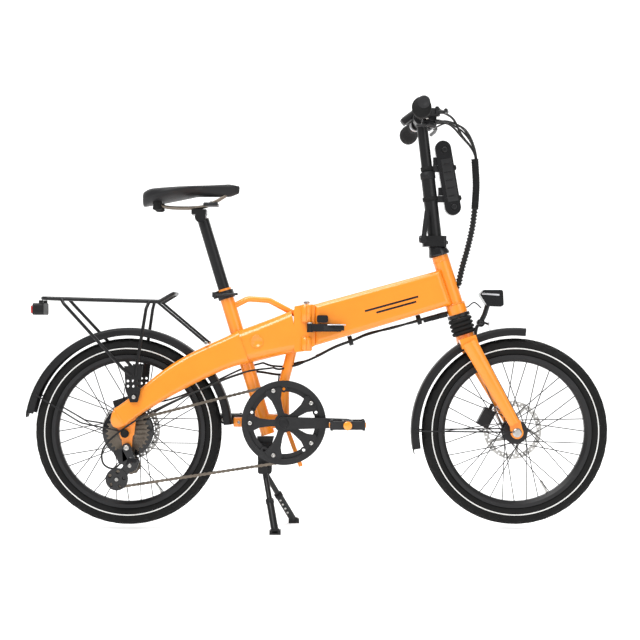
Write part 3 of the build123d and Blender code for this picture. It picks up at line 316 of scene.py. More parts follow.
# ---- tyres
def build_tyre(end, hub, body):
    """A round casing with a stepped block tread and a pale ring on each wall."""
    crown = tyre_r - tyre_half
    tube_r = tyre_half * 0.93
    steps = 264
    around = 40
    knob = 0.00165
    groove_at, groove_half = 0.36, 0.055
    sections = []
    for i in range(steps):
        angle = 2 * pi * i / steps
        out = radial(angle)
        ring = []
        for j in range(around):
            turn = 2 * pi * j / around
            lateral = sin(turn)
            outward = cos(turn)
            lift = 0.0
            if outward > 0.02:
                row = int((lateral + 1) * 4.5)
                block_on = (i + row * 2) % 6 < 4
                groove = abs(abs(lateral) - groove_at) < groove_half
                lift = knob if block_on and not groove else 0.0
            radius = tube_r + lift
            ring.append(
                hub + out * (crown + outward * radius) + Vector((0, lateral * radius, 0))
            )
        sections.append(ring)
    tyre = skin(end + "_tyre_tread", sections, body, tread_rubber, closed_path=True, smooth=False)
    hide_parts(end + "_tyre")
    for side, word in SIDES:
        ring_turns = []
        for i in range(180):
            angle = 2 * pi * i / 180
            out = radial(angle)
            ring = []
            for tilt, rise in ((93, 0.0), (93, 0.0006), (100.5, 0.0006), (100.5, 0.0)):
                t = radians(tilt)
                ring.append(
                    hub + out * (crown + cos(t) * (tube_r + rise))
                    + Vector((0, side * sin(t) * (tube_r + rise), 0))
                )
            ring_turns.append(ring)
        skin(f"{end}_tyre_ring_{word}", ring_turns, body, stripe_white, closed_path=True)
    valve_angle = radians(-62)
    out = radial(valve_angle)
    rim_inner = (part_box(end + "_rim")[1].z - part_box(end + "_rim")[0].z) / 2 - 0.0185
    lathe(end + "_valve", hub + out * rim_inner, -out, [(0, 0.004), (0.004, 0.003), (0.026, 0.003),
        (0.027, 0.0042), (0.036, 0.0042), (0.038, 0.002)], body, steel, steps=14)


build_tyre("rear", rear_hub, "rear_wheel")
build_tyre("front", front_hub, "front_wheel")


# ---- chain
PITCH = 0.0127
LINK_R = 0.0042
LINK_WAIST = 0.0029
PATH_STEP = 0.001
CHAINRING_TEETH, SPROCKET_TEETH, PULLEY_TEETH = 52, 14, 11
chain_y = (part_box("chain")[0].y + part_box("chain")[1].y) / 2


def pitch_radius(teeth):
    return PITCH / (2 * sin(pi / teeth))


def tangent(first, second):
    """Where the chain leaves one wheel and meets the next."""
    (c1, r1, s1), (c2, r2, s2) = first, second
    reach = c2 - c1
    turn = atan2(reach.z, reach.x) + asin((s2 * r2 - s1 * r1) / sqrt(reach.x ** 2 + reach.z ** 2))
    across = Vector((sin(turn), 0, -cos(turn)))
    return c1 - across * s1 * r1, c2 - across * s2 * r2


def chain_points():
    """The chain's path as evenly spaced pins."""
    wheels = [
        (crank_at, pitch_radius(CHAINRING_TEETH), 1), (tension_at, pitch_radius(PULLEY_TEETH), 1),
        (guide_at, pitch_radius(PULLEY_TEETH), -1), (rear_hub, pitch_radius(SPROCKET_TEETH), 1),
    ]
    spans = [tangent(wheels[i], wheels[(i + 1) % 4]) for i in range(4)]
    path = []
    for i in range(4):
        leave, arrive = spans[i]
        straight = int((arrive - leave).length / PATH_STEP)
        path += [leave.lerp(arrive, n / straight) for n in range(straight)]
        middle, radius, side = wheels[(i + 1) % 4]
        away = spans[(i + 1) % 4][0]
        a = atan2(arrive.z - middle.z, arrive.x - middle.x)
        b = atan2(away.z - middle.z, away.x - middle.x)
        span = (a - b) * side % (2 * pi)
        bends = max(2, int(span * radius / PATH_STEP))
        for n in range(bends):
            at = a - side * span * n / bends
            path.append(Vector((middle.x + radius * cos(at), middle.y, middle.z + radius * sin(at))))
    total = sum((path[(i + 1) % len(path)] - path[i]).length for i in range(len(path)))
    count = int(total / PITCH / 2) * 2
    step = total / count
    pins, run, goal = [], 0.0, 0.0
    for i in range(len(path)):
        here, there = path[i], path[(i + 1) % len(path)]
        length = (there - here).length
        while goal <= run + length and len(pins) < count:
            pins.append(here.lerp(there, (goal - run) / length if length else 0))
            goal += step
        run += length
    return [Vector((p.x, chain_y, p.z)) for p in pins]


def build_chain():
    """Waisted link plates in pairs, inner and outer, with a roller at each pin."""
    pins = chain_points()
    verts, faces = [], []

    def take(sections):
        v, f = rings(sections)
        faces.extend(tuple(len(verts) + n for n in face) for face in f)
        verts.extend(v)

    for i, pin in enumerate(pins):
        nxt = pins[(i + 1) % len(pins)]
        run = (nxt - pin).normalized()
        side = Vector((-run.z, 0, run.x))
        gap = 0.0021 if i % 2 else 0.0031
        outline = []
        for end, first, waist in ((pin, 90, -LINK_WAIST), (nxt, -90, LINK_WAIST)):
            for angle in range(first, first + 181, 36):
                a = radians(angle)
                outline.append(end + run * LINK_R * cos(a) + side * LINK_R * sin(a))
            outline.append(pin.lerp(nxt, 0.5) + side * waist)
        for face_side in (-1, 1):
            inner = [p + Vector((0, face_side * gap, 0)) for p in outline]
            outer = [p + Vector((0, face_side * (gap + 0.0009), 0)) for p in outline]
            take([inner, outer])
        roller = []
        for y in (-0.0042, 0.0042):
            roller.append([
                pin + Vector((0.0019 * cos(2 * pi * n / 8), y, 0.0019 * sin(2 * pi * n / 8)))
                for n in range(8)
            ])
        take(roller)
    links = mesh_piece("chain_links", verts, faces, "rear_frame", dark_steel, smooth=False)
    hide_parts("chain")


build_chain()


# ---- cables and rods
def smooth_path(points, per_span=14):
    """A Catmull-Rom path through the points."""
    pts = [Vector(p) for p in points]
    pts = [pts[0] * 2 - pts[1]] + pts + [pts[-1] * 2 - pts[-2]]
    path = []
    for i in range(1, len(pts) - 2):
        a, b, c, d = pts[i - 1:i + 3]
        for n in range(per_span):
            t = n / per_span
            path.append(
                (2 * b + (c - a) * t + (2 * a - 5 * b + 4 * c - d) * t ** 2
                 + (3 * b - a - 3 * c + d) * t ** 3) / 2
            )
    path.append(pts[-2])
    return path


def cable(name, points, radius, body, finish=None, sides=10, ripple=0.0, ripple_length=0.004):
    """A round cable; a ripple gives it the ribs of a spiral wrap."""
    path = smooth_path(points, 14 if not ripple else 60)
    sections = []
    side = Vector((0, 1, 0))
    travelled = 0.0
    for i, here in enumerate(path):
        ahead = path[min(i + 1, len(path) - 1)] - path[max(i - 1, 0)]
        along = ahead.normalized()
        side = (side - along * side.dot(along)).normalized()
        other = along.cross(side)
        if i:
            travelled += (here - path[i - 1]).length
        swell = radius * (1 + ripple * sin(2 * pi * travelled / ripple_length))
        sections.append([
            here + (side * cos(2 * pi * j / sides) + other * sin(2 * pi * j / sides)) * swell
            for j in range(sides)
        ])
    return skin(name, sections, body, finish or cable_black)


bar_middle = centre("handlebar")
port = steer_at + steer_up * 0.085 + Vector((0.026, 0, -0.004))


def build_control_cables():
    """Cables that leave the controls, gather in front of the post and enter the head tube."""
    gather = Vector((0.431, 0, 1.01))
    sleeve_low = Vector((0.43, 0, 0.865))
    sources = {
        "right_brake": (Vector((bar_middle.x + 0.048, -0.122, bar_middle.z + 0.002)), 0.0032, -0.004),
        "left_brake": (Vector((bar_middle.x + 0.048, 0.122, bar_middle.z + 0.002)), 0.0032, 0.004),
        "shift": (Vector((bar_middle.x + 0.034, -0.104, bar_middle.z - 0.024)), 0.0028, -0.0085),
        "display": (Vector((bar_middle.x + 0.006, 0.05, bar_middle.z - 0.004)), 0.0026, 0.0085),
        "cutoff": (Vector((bar_middle.x + 0.046, 0.118, bar_middle.z - 0.014)), 0.0022, 0.0),
    }
    for order, (word, (start, radius, spread)) in enumerate(sources.items()):
        rise = 0.012 * order
        piece = cable("cable_" + word, [start,
            start.lerp(Vector((0.385, 0, bar_middle.z)), 0.45) + Vector((0.012, 0, -0.012 + rise * 0.3)),
            (0.392 + rise * 0.35, spread * 3.2 + start.y * 0.14, 1.072 + rise * 0.4),
            gather + Vector((0.001 * order, spread, 0.01)), (0.433, spread * 0.6, 0.93),
            sleeve_low + Vector((0.0, spread * 0.5, 0.0)), (0.419, spread * 0.5, 0.806)], radius, None)
        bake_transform(piece)
    sleeve = cable("cable_sleeve", [gather, (0.4345, 0, 0.94), sleeve_low + Vector((0.001, 0, 0.01))], 0.0098,
        None, rubber, sides=16, ripple=0.05, ripple_length=0.007)
    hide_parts("control_cables")
    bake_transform(sleeve)
    lower = cable("cable_spiral_wrap", [(0.4325, 0, 0.896), (0.4305, 0, 0.872), (0.424, 0, 0.822),
        (0.411, 0, 0.765), (0.397, 0, 0.715), port], 0.008, None, cable_black, sides=14, ripple=0.2,
        ripple_length=0.0095)
    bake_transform(lower)


build_control_cables()


def build_frame_cables():
    """Cables under the beam, across the fold and down to the motor and the derailleur."""
    route = [
        Vector((0.362, 0, 0.592)), Vector((0.33, 0, 0.584)), Vector((0.268, 0, 0.566)),
        Vector((0.204, 0, 0.549)), Vector((0.141, 0, 0.532)), Vector((0.091, 0, 0.512)),
        Vector((0.056, 0, 0.5)), Vector((0.016, -0.004, 0.48)), Vector((-0.004, -0.008, 0.47)),
    ]
    for word, offset, radius, loop_end in (("brake", -0.006, 0.0028, (-0.15, 0.03, 0.452)),
                                           ("shift", 0.001, 0.0028, (-0.12, -0.022, 0.44)),
                                           ("motor", 0.008, 0.0034, (-0.105, 0.016, 0.42))):
        piece = cable("under_beam_cable_" + word,
            [p + Vector((0, offset, 0.0015 * sin(40 * p.x + offset * 300))) for p in route], radius,
            "front_frame")
        if word == "brake":
            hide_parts("frame_harness")
        end = Vector(loop_end)
        crossing = cable("fold_cable_" + word, [route[-1] + Vector((0.002, offset, 0)),
            (-0.03, offset - 0.004, 0.458), (-0.066, offset, 0.446 + 0.3 * offset),
            end.lerp(Vector((-0.066, offset, 0.446)), 0.35) + Vector((0, 0, -0.006)), end], radius, None)
        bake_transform(crossing)
    for x in (0.278, 0.091):
        z = 0.569 if x > 0.2 else 0.512
        lathe(f"cable_clip_{int(x * 1000)}", (x - 0.006, 0.0, z), (0.963, 0, 0.27), [(0, 0.0125),
            (0.001, 0.0135), (0.011, 0.0135), (0.012, 0.0125)], "front_frame", plastic, steps=24)
    connectors = turned(-15.5)
    for n, (x, z) in enumerate(((0.344, 0.586), (0.322, 0.58), (0.302, 0.575))):
        block(f"cable_connector_{n}", (x, (n - 1) * 0.006, z - 0.003), (0.024, 0.013, 0.014), "front_frame",
            plastic, connectors, 0.003)
    # rear brake, derailleur and motor cables run along the arms
    cable("rear_brake_cable", [(-0.15, 0.03, 0.452), (-0.21, 0.046, 0.434), (-0.3, 0.06, 0.392),
        (-0.4, 0.066, 0.352), (-0.47, 0.064, 0.338), (-0.505, 0.061, 0.34)], 0.0026, "rear_frame")
    cable("derailleur_cable", [(-0.12, -0.022, 0.44), (-0.2, -0.05, 0.428), (-0.31, -0.066, 0.384),
        (-0.42, -0.078, 0.336), (-0.5, -0.09, 0.292), (-0.566, -0.094, 0.236), (-0.574, -0.09, 0.19),
        (-0.548, -0.084, 0.172), (-0.522, -0.08, 0.19)], 0.0026, "rear_frame")
    cable("motor_cable", [(-0.105, 0.016, 0.42), (-0.2, 0.058, 0.424), (-0.34, 0.078, 0.37),
        (-0.45, 0.088, 0.316), (-0.5, 0.094, 0.276), (-0.515, 0.088, 0.266)], 0.0034, "rear_frame")
    cable("pedal_sensor_cable", [(-0.105, 0.016, 0.42), (-0.108, 0.02, 0.37), (-0.104, 0.026, 0.315)],
        0.0022, "rear_frame")


build_frame_cables()


# ---- saddle
def build_saddle():
    """A padded shell: wide at the back, narrow at the nose, with a skirt below."""
    low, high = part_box("saddle")
    length = high.x - low.x
    stations = 40
    around = 36
    nose_half, back_half = 0.0195, 0.0812
    sections = []
    for i in range(stations + 1):
        s = i / stations
        half = 0.081 * (sin(pi * min(1, s * 1.55 + 0.04)) ** 0.62 if s < 0.3 else 1)
        if s >= 0.3:
            t = (s - 0.3) / 0.7
            half = nose_half + (back_half - nose_half) * (0.5 + 0.5 * cos(pi * min(1, t * 1.18))) ** 1.25
            if t > 0.86:
                half *= sqrt(max(0.0, 1 - ((t - 0.86) / 0.14) ** 2)) * 0.93 + 0.07
        x = low.x + 0.002 + (length - 0.004) * s
        top = high.z - 0.018 + 0.016 * s ** 1.3 - 0.01 * max(0, (s - 0.84) / 0.16) ** 2
        top -= 0.012 * max(0, (0.12 - s) / 0.12) ** 2
        skirt = low.z - 0.018 + 0.028 * min(1, s / 0.55)
        if s > 0.9:
            skirt += 0.01 * (s - 0.9) / 0.1
        ring = []
        for j in range(around):
            turn = 2 * pi * j / around
            c, n = cos(turn), sin(turn)
            y = half * (abs(c) ** 0.72) * (1 if c > 0 else -1)
            if n >= 0:
                z = skirt + 0.022 + (top - skirt - 0.022) * n ** 0.62
                dip = 0.0028 * max(0.0, 1 - abs(y) / 0.013) if 0.12 < s < 0.86 else 0.0
                z -= dip
            else:
                z = skirt + 0.022 + n * 0.022 * (abs(n) ** 0.3)
                y *= 0.97
            ring.append(Vector((x, y, z)))
        sections.append(ring)
    shell = skin("saddle_cover", sections, "seat", leather)
    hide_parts("saddle")
    smooth = shell.modifiers.new("smooth", "SUBSURF")
    smooth.levels = 1
    smooth.render_levels = 1
    shell.data.materials.append(leather_grey)
    for face in shell.data.polygons:
        mid = face.center
        if mid.z > high.z - 0.022 and abs(mid.y) < 0.05 and mid.x < low.x + length * 0.62:
            face.material_index = 1
    head_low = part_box("seatpost")[0]
    for side, word in SIDES:
        cable("saddle_rail_" + word, [(low.x + 0.232, side * 0.008, 0.912),
            (low.x + 0.2, side * 0.014, 0.893), (low.x + 0.165, side * 0.021, 0.879),
            (low.x + 0.11, side * 0.022, 0.876), (low.x + 0.06, side * 0.026, 0.88),
            (low.x + 0.03, side * 0.034, 0.896)], 0.0035, "seat", dark_steel)
        lathe("saddle_elastomer_" + word, (low.x + 0.045, side * 0.034, 0.868), (0, 0, 1), [(0, 0.008),
            (0.003, 0.013), (0.01, 0.0125), (0.014, 0.0105), (0.018, 0.013), (0.025, 0.0125),
            (0.028, 0.01)], "seat", rubber, steps=24)
    block("saddle_clamp_top", (head_low.x + 0.052, 0, 0.885), (0.04, 0.056, 0.01), "seat", black_satin,
        None, 0.003)
    cap_screw("saddle_clamp_bolt", (head_low.x + 0.052, 0.0, 0.89), (0, 0, 1), 0.005, "seat")


build_saddle()


# ---- handlebar controls
grips_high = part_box("grips")[1]


def build_grip(side):
    """A ribbed grip whose outer end swells into a round palm rest."""
    word = "left" if side > 0 else "right"
    inner_y = 0.172
    clamp_edge = 0.09
    outer_y = grips_high.y - 0.002
    stations = 64
    around = 28
    sections = []
    for i in range(stations + 1):
        s = i / stations
        y = inner_y + (outer_y - inner_y) * s
        share = (y - clamp_edge) / (grips_high.y - 0.004 - clamp_edge)
        x = bar_x + 0.001 - 0.014 * share
        z = bar_z + 0.002 * share
        radius = 0.0152 + 0.0007 * (sin(2 * pi * s * 22) > 0.2)
        spread = max(0.0, min(1.0, (s - 0.3) / 0.5))
        spread = spread * spread * (3 - 2 * spread)
        if s < 0.03 or s > 0.985:
            radius *= 0.93
        ring = []
        for j in range(around):
            turn = 2 * pi * j / around
            c, n = cos(turn), sin(turn)
            px = x + (radius + 0.0095 * spread) * c - 0.0055 * spread
            pz = z + (radius + 0.0115 * spread) * n - 0.0135 * spread
            ring.append(Vector((px, side * y, pz)))
        sections.append(ring)
    grip = skin("grip_" + word, sections, "handlepost", rubber)
    end = Vector((bar_x - 0.013, side * outer_y, bar_z + 0.002))
    lathe("grip_cap_" + word, end, (0, side, 0), [(-0.006, 0.0162), (0.0, 0.0165), (0.0015, 0.015),
        (0.0018, 0.009), (0.0008, 0.0075), (0.0008, 0.0001)], "handlepost", plastic_grey, steps=32)
    ring_at = Vector((bar_x - 0.005, side * 0.17, bar_z + 0.001))
    lathe("grip_ring_" + word, ring_at, (0, side, 0), [(-0.006, 0.0135), (-0.005, 0.0165), (0.001, 0.0165),
        (0.002, 0.0135)], "handlepost", alloy, steps=32)
    return grip


bar_box_low, bar_box_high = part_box("handlebar")
bar_x = bar_box_high.x - 0.0127
bar_z = bar_box_low.z + 0.0127
right_grip = build_grip(-1)
build_grip(1)
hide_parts("grips")


def build_controls():
    """Display, bell, buttons, levers' fittings and the clamp's screws."""
    tilt = turned(-36.87)
    at = Vector((bar_x - 0.022, 0.07, bar_z + 0.016))
    face_up = tilt @ Vector((0, 0, 1))
    block("display_case", at, (0.066, 0.05, 0.019), "handlepost", plastic, tilt, 0.006)
    block("display_glass", at + face_up * 0.0088, (0.055, 0.041, 0.0032), "handlepost", screen, tilt, 0.003)
    block("display_pad", at + face_up * 0.0004 + Vector((0, 0.048, -0.002)), (0.04, 0.024, 0.02),
        "handlepost", plastic_grey, tilt, 0.006)
    for n in range(3):
        spot = at + face_up * 0.0105 + Vector((0, 0.048, -0.002)) + tilt @ Vector((0.012 * (n - 1), 0, 0))
        lathe(f"display_button_{n}", spot, face_up, [(-0.001, 0.0044), (0.0012, 0.0044), (0.0018, 0.0036),
            (0.0018, 0.0001)], "handlepost", alloy if n == 1 else rubber, steps=20)
    for y in (-0.017, 0.017):
        for x in (-0.006, 0.018):
            cap_screw(f"bar_clamp_screw_{'r' if y < 0 else 'l'}{'a' if x < 0 else 'b'}",
                (bar_x + x + 0.0135, y, bar_z + 0.0155 - (0.02 if x > 0 else 0)), (0.6, 0, 0.8), 0.0042,
                "handlepost")
    # a bell on the right of the clamp
    dome = Vector((bar_x - 0.004, -0.062, bar_z + 0.014))
    lathe("bell_dome", dome, (0, 0, 1), [(0, 0.0165), (0.002, 0.0172), (0.007, 0.0165), (0.012, 0.0135),
        (0.0155, 0.008), (0.0165, 0.0001)], "handlepost", alloy, steps=36)
    lathe("bell_strap", (bar_x, -0.068, bar_z), (0, 1, 0), [(0, 0.0118), (0, 0.0142), (0.012, 0.0142),
        (0.012, 0.0118)], "handlepost", plastic, steps=28)
    for side, word in SIDES:
        adjust = Vector((bar_x + 0.036, side * 0.127, bar_z + 0.002))
        lathe("brake_barrel_adjuster_" + word, adjust, (0.75, -side * 0.65, 0), [(0, 0.0048), (0.003, 0.0052),
            (0.003, 0.0058), (0.009, 0.0058), (0.009, 0.0042), (0.016, 0.0038)], "handlepost", black_satin,
            steps=20)
        cap_screw("brake_clamp_screw_" + word, (bar_x + 0.006, side * 0.142, bar_z - 0.0185), (0, 0, -1),
            0.0036, "handlepost")
        cap_screw("brake_pivot_cap_" + word, (bar_x + 0.032, side * 0.146, bar_z + 0.006), (0, 0, 1), 0.005,
            "handlepost", black_satin)
    # thumb levers and window of the shifter
    shift = centre("shifter")
    block("shifter_cover", (shift.x + 0.006, -0.115, bar_z - 0.03), (0.04, 0.03, 0.02), "handlepost",
        gloss_black, turned(12), 0.006)
    block("shifter_window", (shift.x + 0.004, -0.115, bar_z - 0.0188), (0.02, 0.01, 0.003), "handlepost",
        clear_lens, turned(12), 0.001)
    block("shifter_thumb_lever", (shift.x - 0.014, -0.128, bar_z - 0.036), (0.03, 0.008, 0.007),
        "handlepost", plastic_grey, turned(-24, "Z"), 0.003)
    block("shifter_release_lever", (shift.x + 0.026, -0.132, bar_z - 0.026), (0.012, 0.02, 0.006),
        "handlepost", plastic_grey, None, 0.0025)


build_controls()


# ---- folding lock
def build_lock():
    """Plain raised bands, rivets and the holder's straps."""
    low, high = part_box("folding_lock")
    axis = Vector(joint("lock_lift")["axis"]).normalized()
    middle = Vector(((low.x + high.x) / 2 + 0.006, 0, (low.z + high.z) / 2))
    across = Vector((axis.z, 0, -axis.x))
    turn = Matrix((across, Vector((0, 1, 0)), axis)).transposed()
    for side, word in SIDES:
        block("lock_side_panel_" + word, middle + Vector((0, side * 0.0152, 0)) - axis * 0.006,
            (0.03, 0.0022, 0.118), "folding_lock", plastic_grey, turn, 0.001)
        for n in range(5):
            block(f"lock_band_{word}_{n}",
                middle + Vector((0, side * 0.0166, 0)) + axis * (0.022 * (n - 2) - 0.006),
                (0.022, 0.0014, 0.004), "folding_lock", gloss_black, turn, 0.0006)
        for end, along in (("top", 0.078), ("low", -0.08)):
            cap_screw(f"lock_rivet_{end}_{word}", middle + Vector((0, side * 0.0148, 0)) + axis * along,
                (0, side, 0), 0.0075, "folding_lock", black_satin)
    for n, share in enumerate((-0.058, 0.026)):
        block(f"lock_strap_{n}", middle + axis * share, (0.0475, 0.0325, 0.014), "folding_lock", rubber, turn,
            0.004)
        hold = middle + axis * share
        reach = (hold.x - POST_X + 0.1144 * (hold.z - POST_Z)) - 0.033
        block(f"lock_holder_arm_{n}", hold - Vector((0.5 * reach + 0.018, 0, 0)), (reach, 0.02, 0.017),
            "handlepost", plastic, None, 0.003)
        post_x = POST_X + (0.2815 - POST_X) * (hold.z - POST_Z) / 0.354
        ring_r = 0.0198 if hold.z < 0.957 else 0.0158
        lathe(f"lock_holder_ring_{n}", Vector((post_x, 0, hold.z)) - post_up * 0.006, post_up, [(0, ring_r),
            (0.001, ring_r + 0.002), (0.011, ring_r + 0.002), (0.012, ring_r)], "handlepost", rubber,
            steps=36)


build_lock()


# ---- lamps
def build_headlight():
    low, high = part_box("headlight")
    pivot = joint_at("headlight_tilt")
    lens_x = high.x - 0.0035
    lens_z = high.z - 0.024
    lathe("headlight_rim", (lens_x - 0.004, 0, lens_z), (1, 0, 0), [(0, 0.0205), (0.001, 0.0222),
        (0.006, 0.0222), (0.0072, 0.0205), (0.0072, 0.0185), (0.004, 0.018)], "headlight", alloy, steps=48)
    lathe("headlight_lens", (lens_x - 0.001, 0, lens_z), (1, 0, 0), [(0, 0.0183), (0.002, 0.0183),
        (0.0045, 0.014), (0.0058, 0.007), (0.0062, 0.0001)], "headlight", clear_lens, steps=48)
    for side, word in SIDES:
        block("headlight_trim_" + word, (low.x + 0.036, side * 0.0272, high.z - 0.012),
            (0.048, 0.0016, 0.0045), "headlight", alloy, turned(4), 0.0007)
        cap_screw("headlight_pivot_" + word, (pivot.x, side * 0.0138, pivot.z), (0, side, 0), 0.0065,
            "headlight", black_satin)
    block("front_reflector", (0.47, 0, 0.557), (0.005, 0.044, 0.028), "fork", clear_lens, None, 0.0015)
    for side, word in SIDES:
        cable("lamp_bracket_" + word, [pivot + Vector((0.002, side * 0.0172, 0.0)),
            pivot + Vector((-0.01, side * 0.017, -0.012)), (0.431, side * 0.014, 0.5215)], 0.0032, "fork",
            black_paint)
    cable("lamp_bracket_tongue", [(0.431, -0.016, 0.5215), (0.431, 0.0, 0.5215), (0.431, 0.016, 0.5215)],
        0.0036, "fork", black_paint)
    cable("reflector_arm", [pivot + Vector((0.0, 0, -0.0)), pivot + Vector((0.012, 0, 0.0)),
        (0.469, 0, 0.558)], 0.003, "fork", black_paint)
    wire = cable("headlight_wire", [(low.x + 0.014, 0.004, low.z + 0.052), (0.43, 0.006, 0.618),
        (0.412, 0.006, 0.606), (0.396, 0.004, 0.603)], 0.0018, None)
    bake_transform(wire)


build_headlight()


def build_rear_light():
    low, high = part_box("rear_light")
    middle = (low + high) / 2
    block("rear_light_lens", (low.x + 0.003, 0, middle.z - 0.001), (0.0075, 0.068, 0.021), "rear_frame",
        red_lens, None, 0.003)
    block("rear_light_reflector", (low.x + 0.0045, 0, middle.z - 0.001), (0.006, 0.052, 0.0245), "rear_frame",
        red_lens, None, 0.0015)
    for side, word in SIDES:
        block("rear_light_lug_" + word, (high.x - 0.008, side * 0.03, high.z + 0.003), (0.012, 0.008, 0.01),
            "rear_frame", black_paint)


build_rear_light()


# ---- fork boot
def build_boot():
    """A rubber bellows between the head tube and the crown."""
    top = steer_at - steer_up * 0.0112
    length = 0.0465
    profile = [(0.0, 0.029)]
    folds = 4
    for n in range(folds):
        base = 0.001 + n * length / folds
        step = length / folds
        for share, radius in ((0.02, 0.0275), (0.18, 0.0315), (0.42, 0.0332), (0.62, 0.0332),
                              (0.84, 0.031), (0.98, 0.0275)):
            profile.append((base + step * share, radius))
    profile.append((length, 0.0285))
    boot = lathe("fork_bellows", top, -steer_up, profile, "fork", rubber, steps=48)
    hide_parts("fork_boot")
    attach(boot, "steerer")
    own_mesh(boot)
    for reach, radius in ((0.0005, 0.0305), (0.044, 0.0305)):
        lathe(f"bellows_band_{int(reach * 10000)}", top - steer_up * reach, -steer_up, [(0, radius - 0.002),
            (0.0004, radius), (0.0026, radius), (0.003, radius - 0.002)],
            "steerer" if reach < 0.01 else "fork", black_satin, steps=48)


build_boot()


# ---- pedals
def build_pedal(word, side):
    body = "pedal_" + word
    at = joint_at(body + "_spin")
    low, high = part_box(body)
    y_in = at.y + side * 0.089
    y_out = at.y + side * 0.171
    for end in (1, -1):
        x = at.x + end * 0.0475
        block(f"pedal_{word}_reflector_{'front' if end > 0 else 'back'}",
            (x - end * 0.0008, side * 0.13, at.z), (0.0042, 0.05, 0.0125), body, amber, None, 0.001)
        for top in (1, -1):
            for n in range(7):
                y = y_in + (y_out - y_in) * (n + 0.5) / 7
                block(f"pedal_{word}_tooth_{'f' if end > 0 else 'b'}{'t' if top > 0 else 'u'}{n}",
                    (at.x + end * 0.042, y, at.z + top * 0.0118), (0.007, 0.005, 0.003), body, plastic, None,
                    0.0008)
    cap_y = high.y if side > 0 else low.y
    lathe(f"pedal_{word}_cap", (at.x, cap_y - side * 0.003, at.z), (0, side, 0), [(0, 0.0122),
        (0.002, 0.0122), (0.004, 0.0105), (0.0046, 0.006), (0.0046, 0.0001)], body, amber, steps=32)
    for top in (1, -1):
        block(f"pedal_{word}_pad_{'top' if top > 0 else 'under'}", (at.x, side * 0.129, at.z + top * 0.0098),
            (0.02, 0.074, 0.004), body, rubber, None, 0.0015)
    cap_screw(f"crank_{word}_pedal_axle", (at.x, side * 0.0665, at.z), (0, -side, 0), 0.006, "crankset")


build_pedal("right", -1)
build_pedal("left", 1)


# ---- drivetrain details
def build_drive_details():
    for n in range(5):
        angle = radians(36 + 72 * n)
        spot = crank_at + Vector((0.091 * cos(angle), -0.0684, 0.091 * sin(angle)))
        cap_screw(f"chainring_bolt_{n}", spot, (0, -1, 0), 0.0058, "crankset")
    for side, word in reversed(SIDES):
        lathe("crank_cap_" + word, crank_at + Vector((0, side * 0.079, 0)), (0, side, 0), [(0, 0.0135),
            (0.003, 0.013), (0.0042, 0.0105), (0.0042, 0.0001)], "crankset", plastic, steps=36)
    # the disc that keeps the chain off the spokes
    lathe("spoke_protector", rear_hub + Vector((0, -0.0262, 0)), (0, 1, 0), [(0, 0.024), (0, 0.068),
        (0.0012, 0.069), (0.0022, 0.068), (0.0022, 0.024)], "rear_wheel", gloss_black, steps=72)
    lathe("cassette_lockring", rear_hub + Vector((0, -0.056, 0)), (0, -1, 0), [(0, 0.0165), (0.0016, 0.0165),
        (0.0022, 0.0145), (0.0022, 0.0095), (0.0004, 0.009)], "cassette", steel, steps=36)
    for word, at, y in (("guide", guide_at, -0.0868), ("tension", tension_at, -0.0655)):
        cap_screw(f"{word}_pulley_bolt", (at.x, y, at.z), (0, -1, 0), 0.0052, "rear_frame")
    lathe("tension_pulley_guard_rim", (tension_at.x, -0.056, tension_at.z), (0, -1, 0), [(0, 0.026),
        (0, 0.0302), (0.0012, 0.0302), (0.0012, 0.026)], "rear_frame", gloss_black, steps=48)
    lathe("tension_pulley_boss", (tension_at.x, -0.056, tension_at.z), (0, -1, 0), [(0, 0.011),
        (0.002, 0.0105), (0.0035, 0.0075), (0.0035, 0.0001)], "rear_frame", gloss_black, steps=32)
    hanger = Vector((rear_hub.x + 0.004, -0.0845, 0.228))
    cap_screw("hanger_bolt", hanger, (0, -1, 0), 0.0075, "rear_frame")
    block("derailleur_link", (rear_hub.x - 0.01, -0.08, 0.206), (0.03, 0.013, 0.04), "rear_frame",
        black_satin, turned(-28), 0.004)
    block("derailleur_knuckle", (guide_at.x + 0.006, -0.08, guide_at.z + 0.006), (0.034, 0.018, 0.036),
        "rear_frame", gloss_black, turned(20), 0.008)
    for side, word in SIDES:
        lathe("rear_axle_cap_" + word, (rear_hub.x, side * 0.0885, rear_hub.z), (0, side, 0), [(0, 0.0115),
            (0.004, 0.0112), (0.01, 0.0085), (0.012, 0.005), (0.0125, 0.0001)], "rear_frame", rubber,
            steps=28)
        lathe("front_axle_washer_" + word, (front_hub.x, side * 0.0585, front_hub.z), (0, side, 0),
            [(0, 0.0055), (0, 0.0125), (0.0012, 0.0125), (0.0012, 0.0055)], "fork", steel, steps=32)
        lathe("rear_cover_disc_" + word, (-0.164, side * 0.0378, 0.512), (0, side, 0), [(0, 0.0175),
            (0.0022, 0.0178), (0.003, 0.0168), (0.003, 0.0142), (0.0022, 0.0138), (0.0022, 0.0001)],
            "rear_frame", orange, steps=48)
    for body, word, at, y in (("front_wheel", "front", front_hub, centre("front_rotor").y),
                              ("rear_wheel", "rear", rear_hub, centre("rear_rotor").y)):
        for n in range(6):
            angle = radians(60 * n + 12)
            cap_screw(f"{word}_rotor_screw_{n}",
                at + Vector((0.0205 * cos(angle), y - at.y + 0.0009, 0.0205 * sin(angle))), (0, 1, 0), 0.0032,
                body)


build_drive_details()


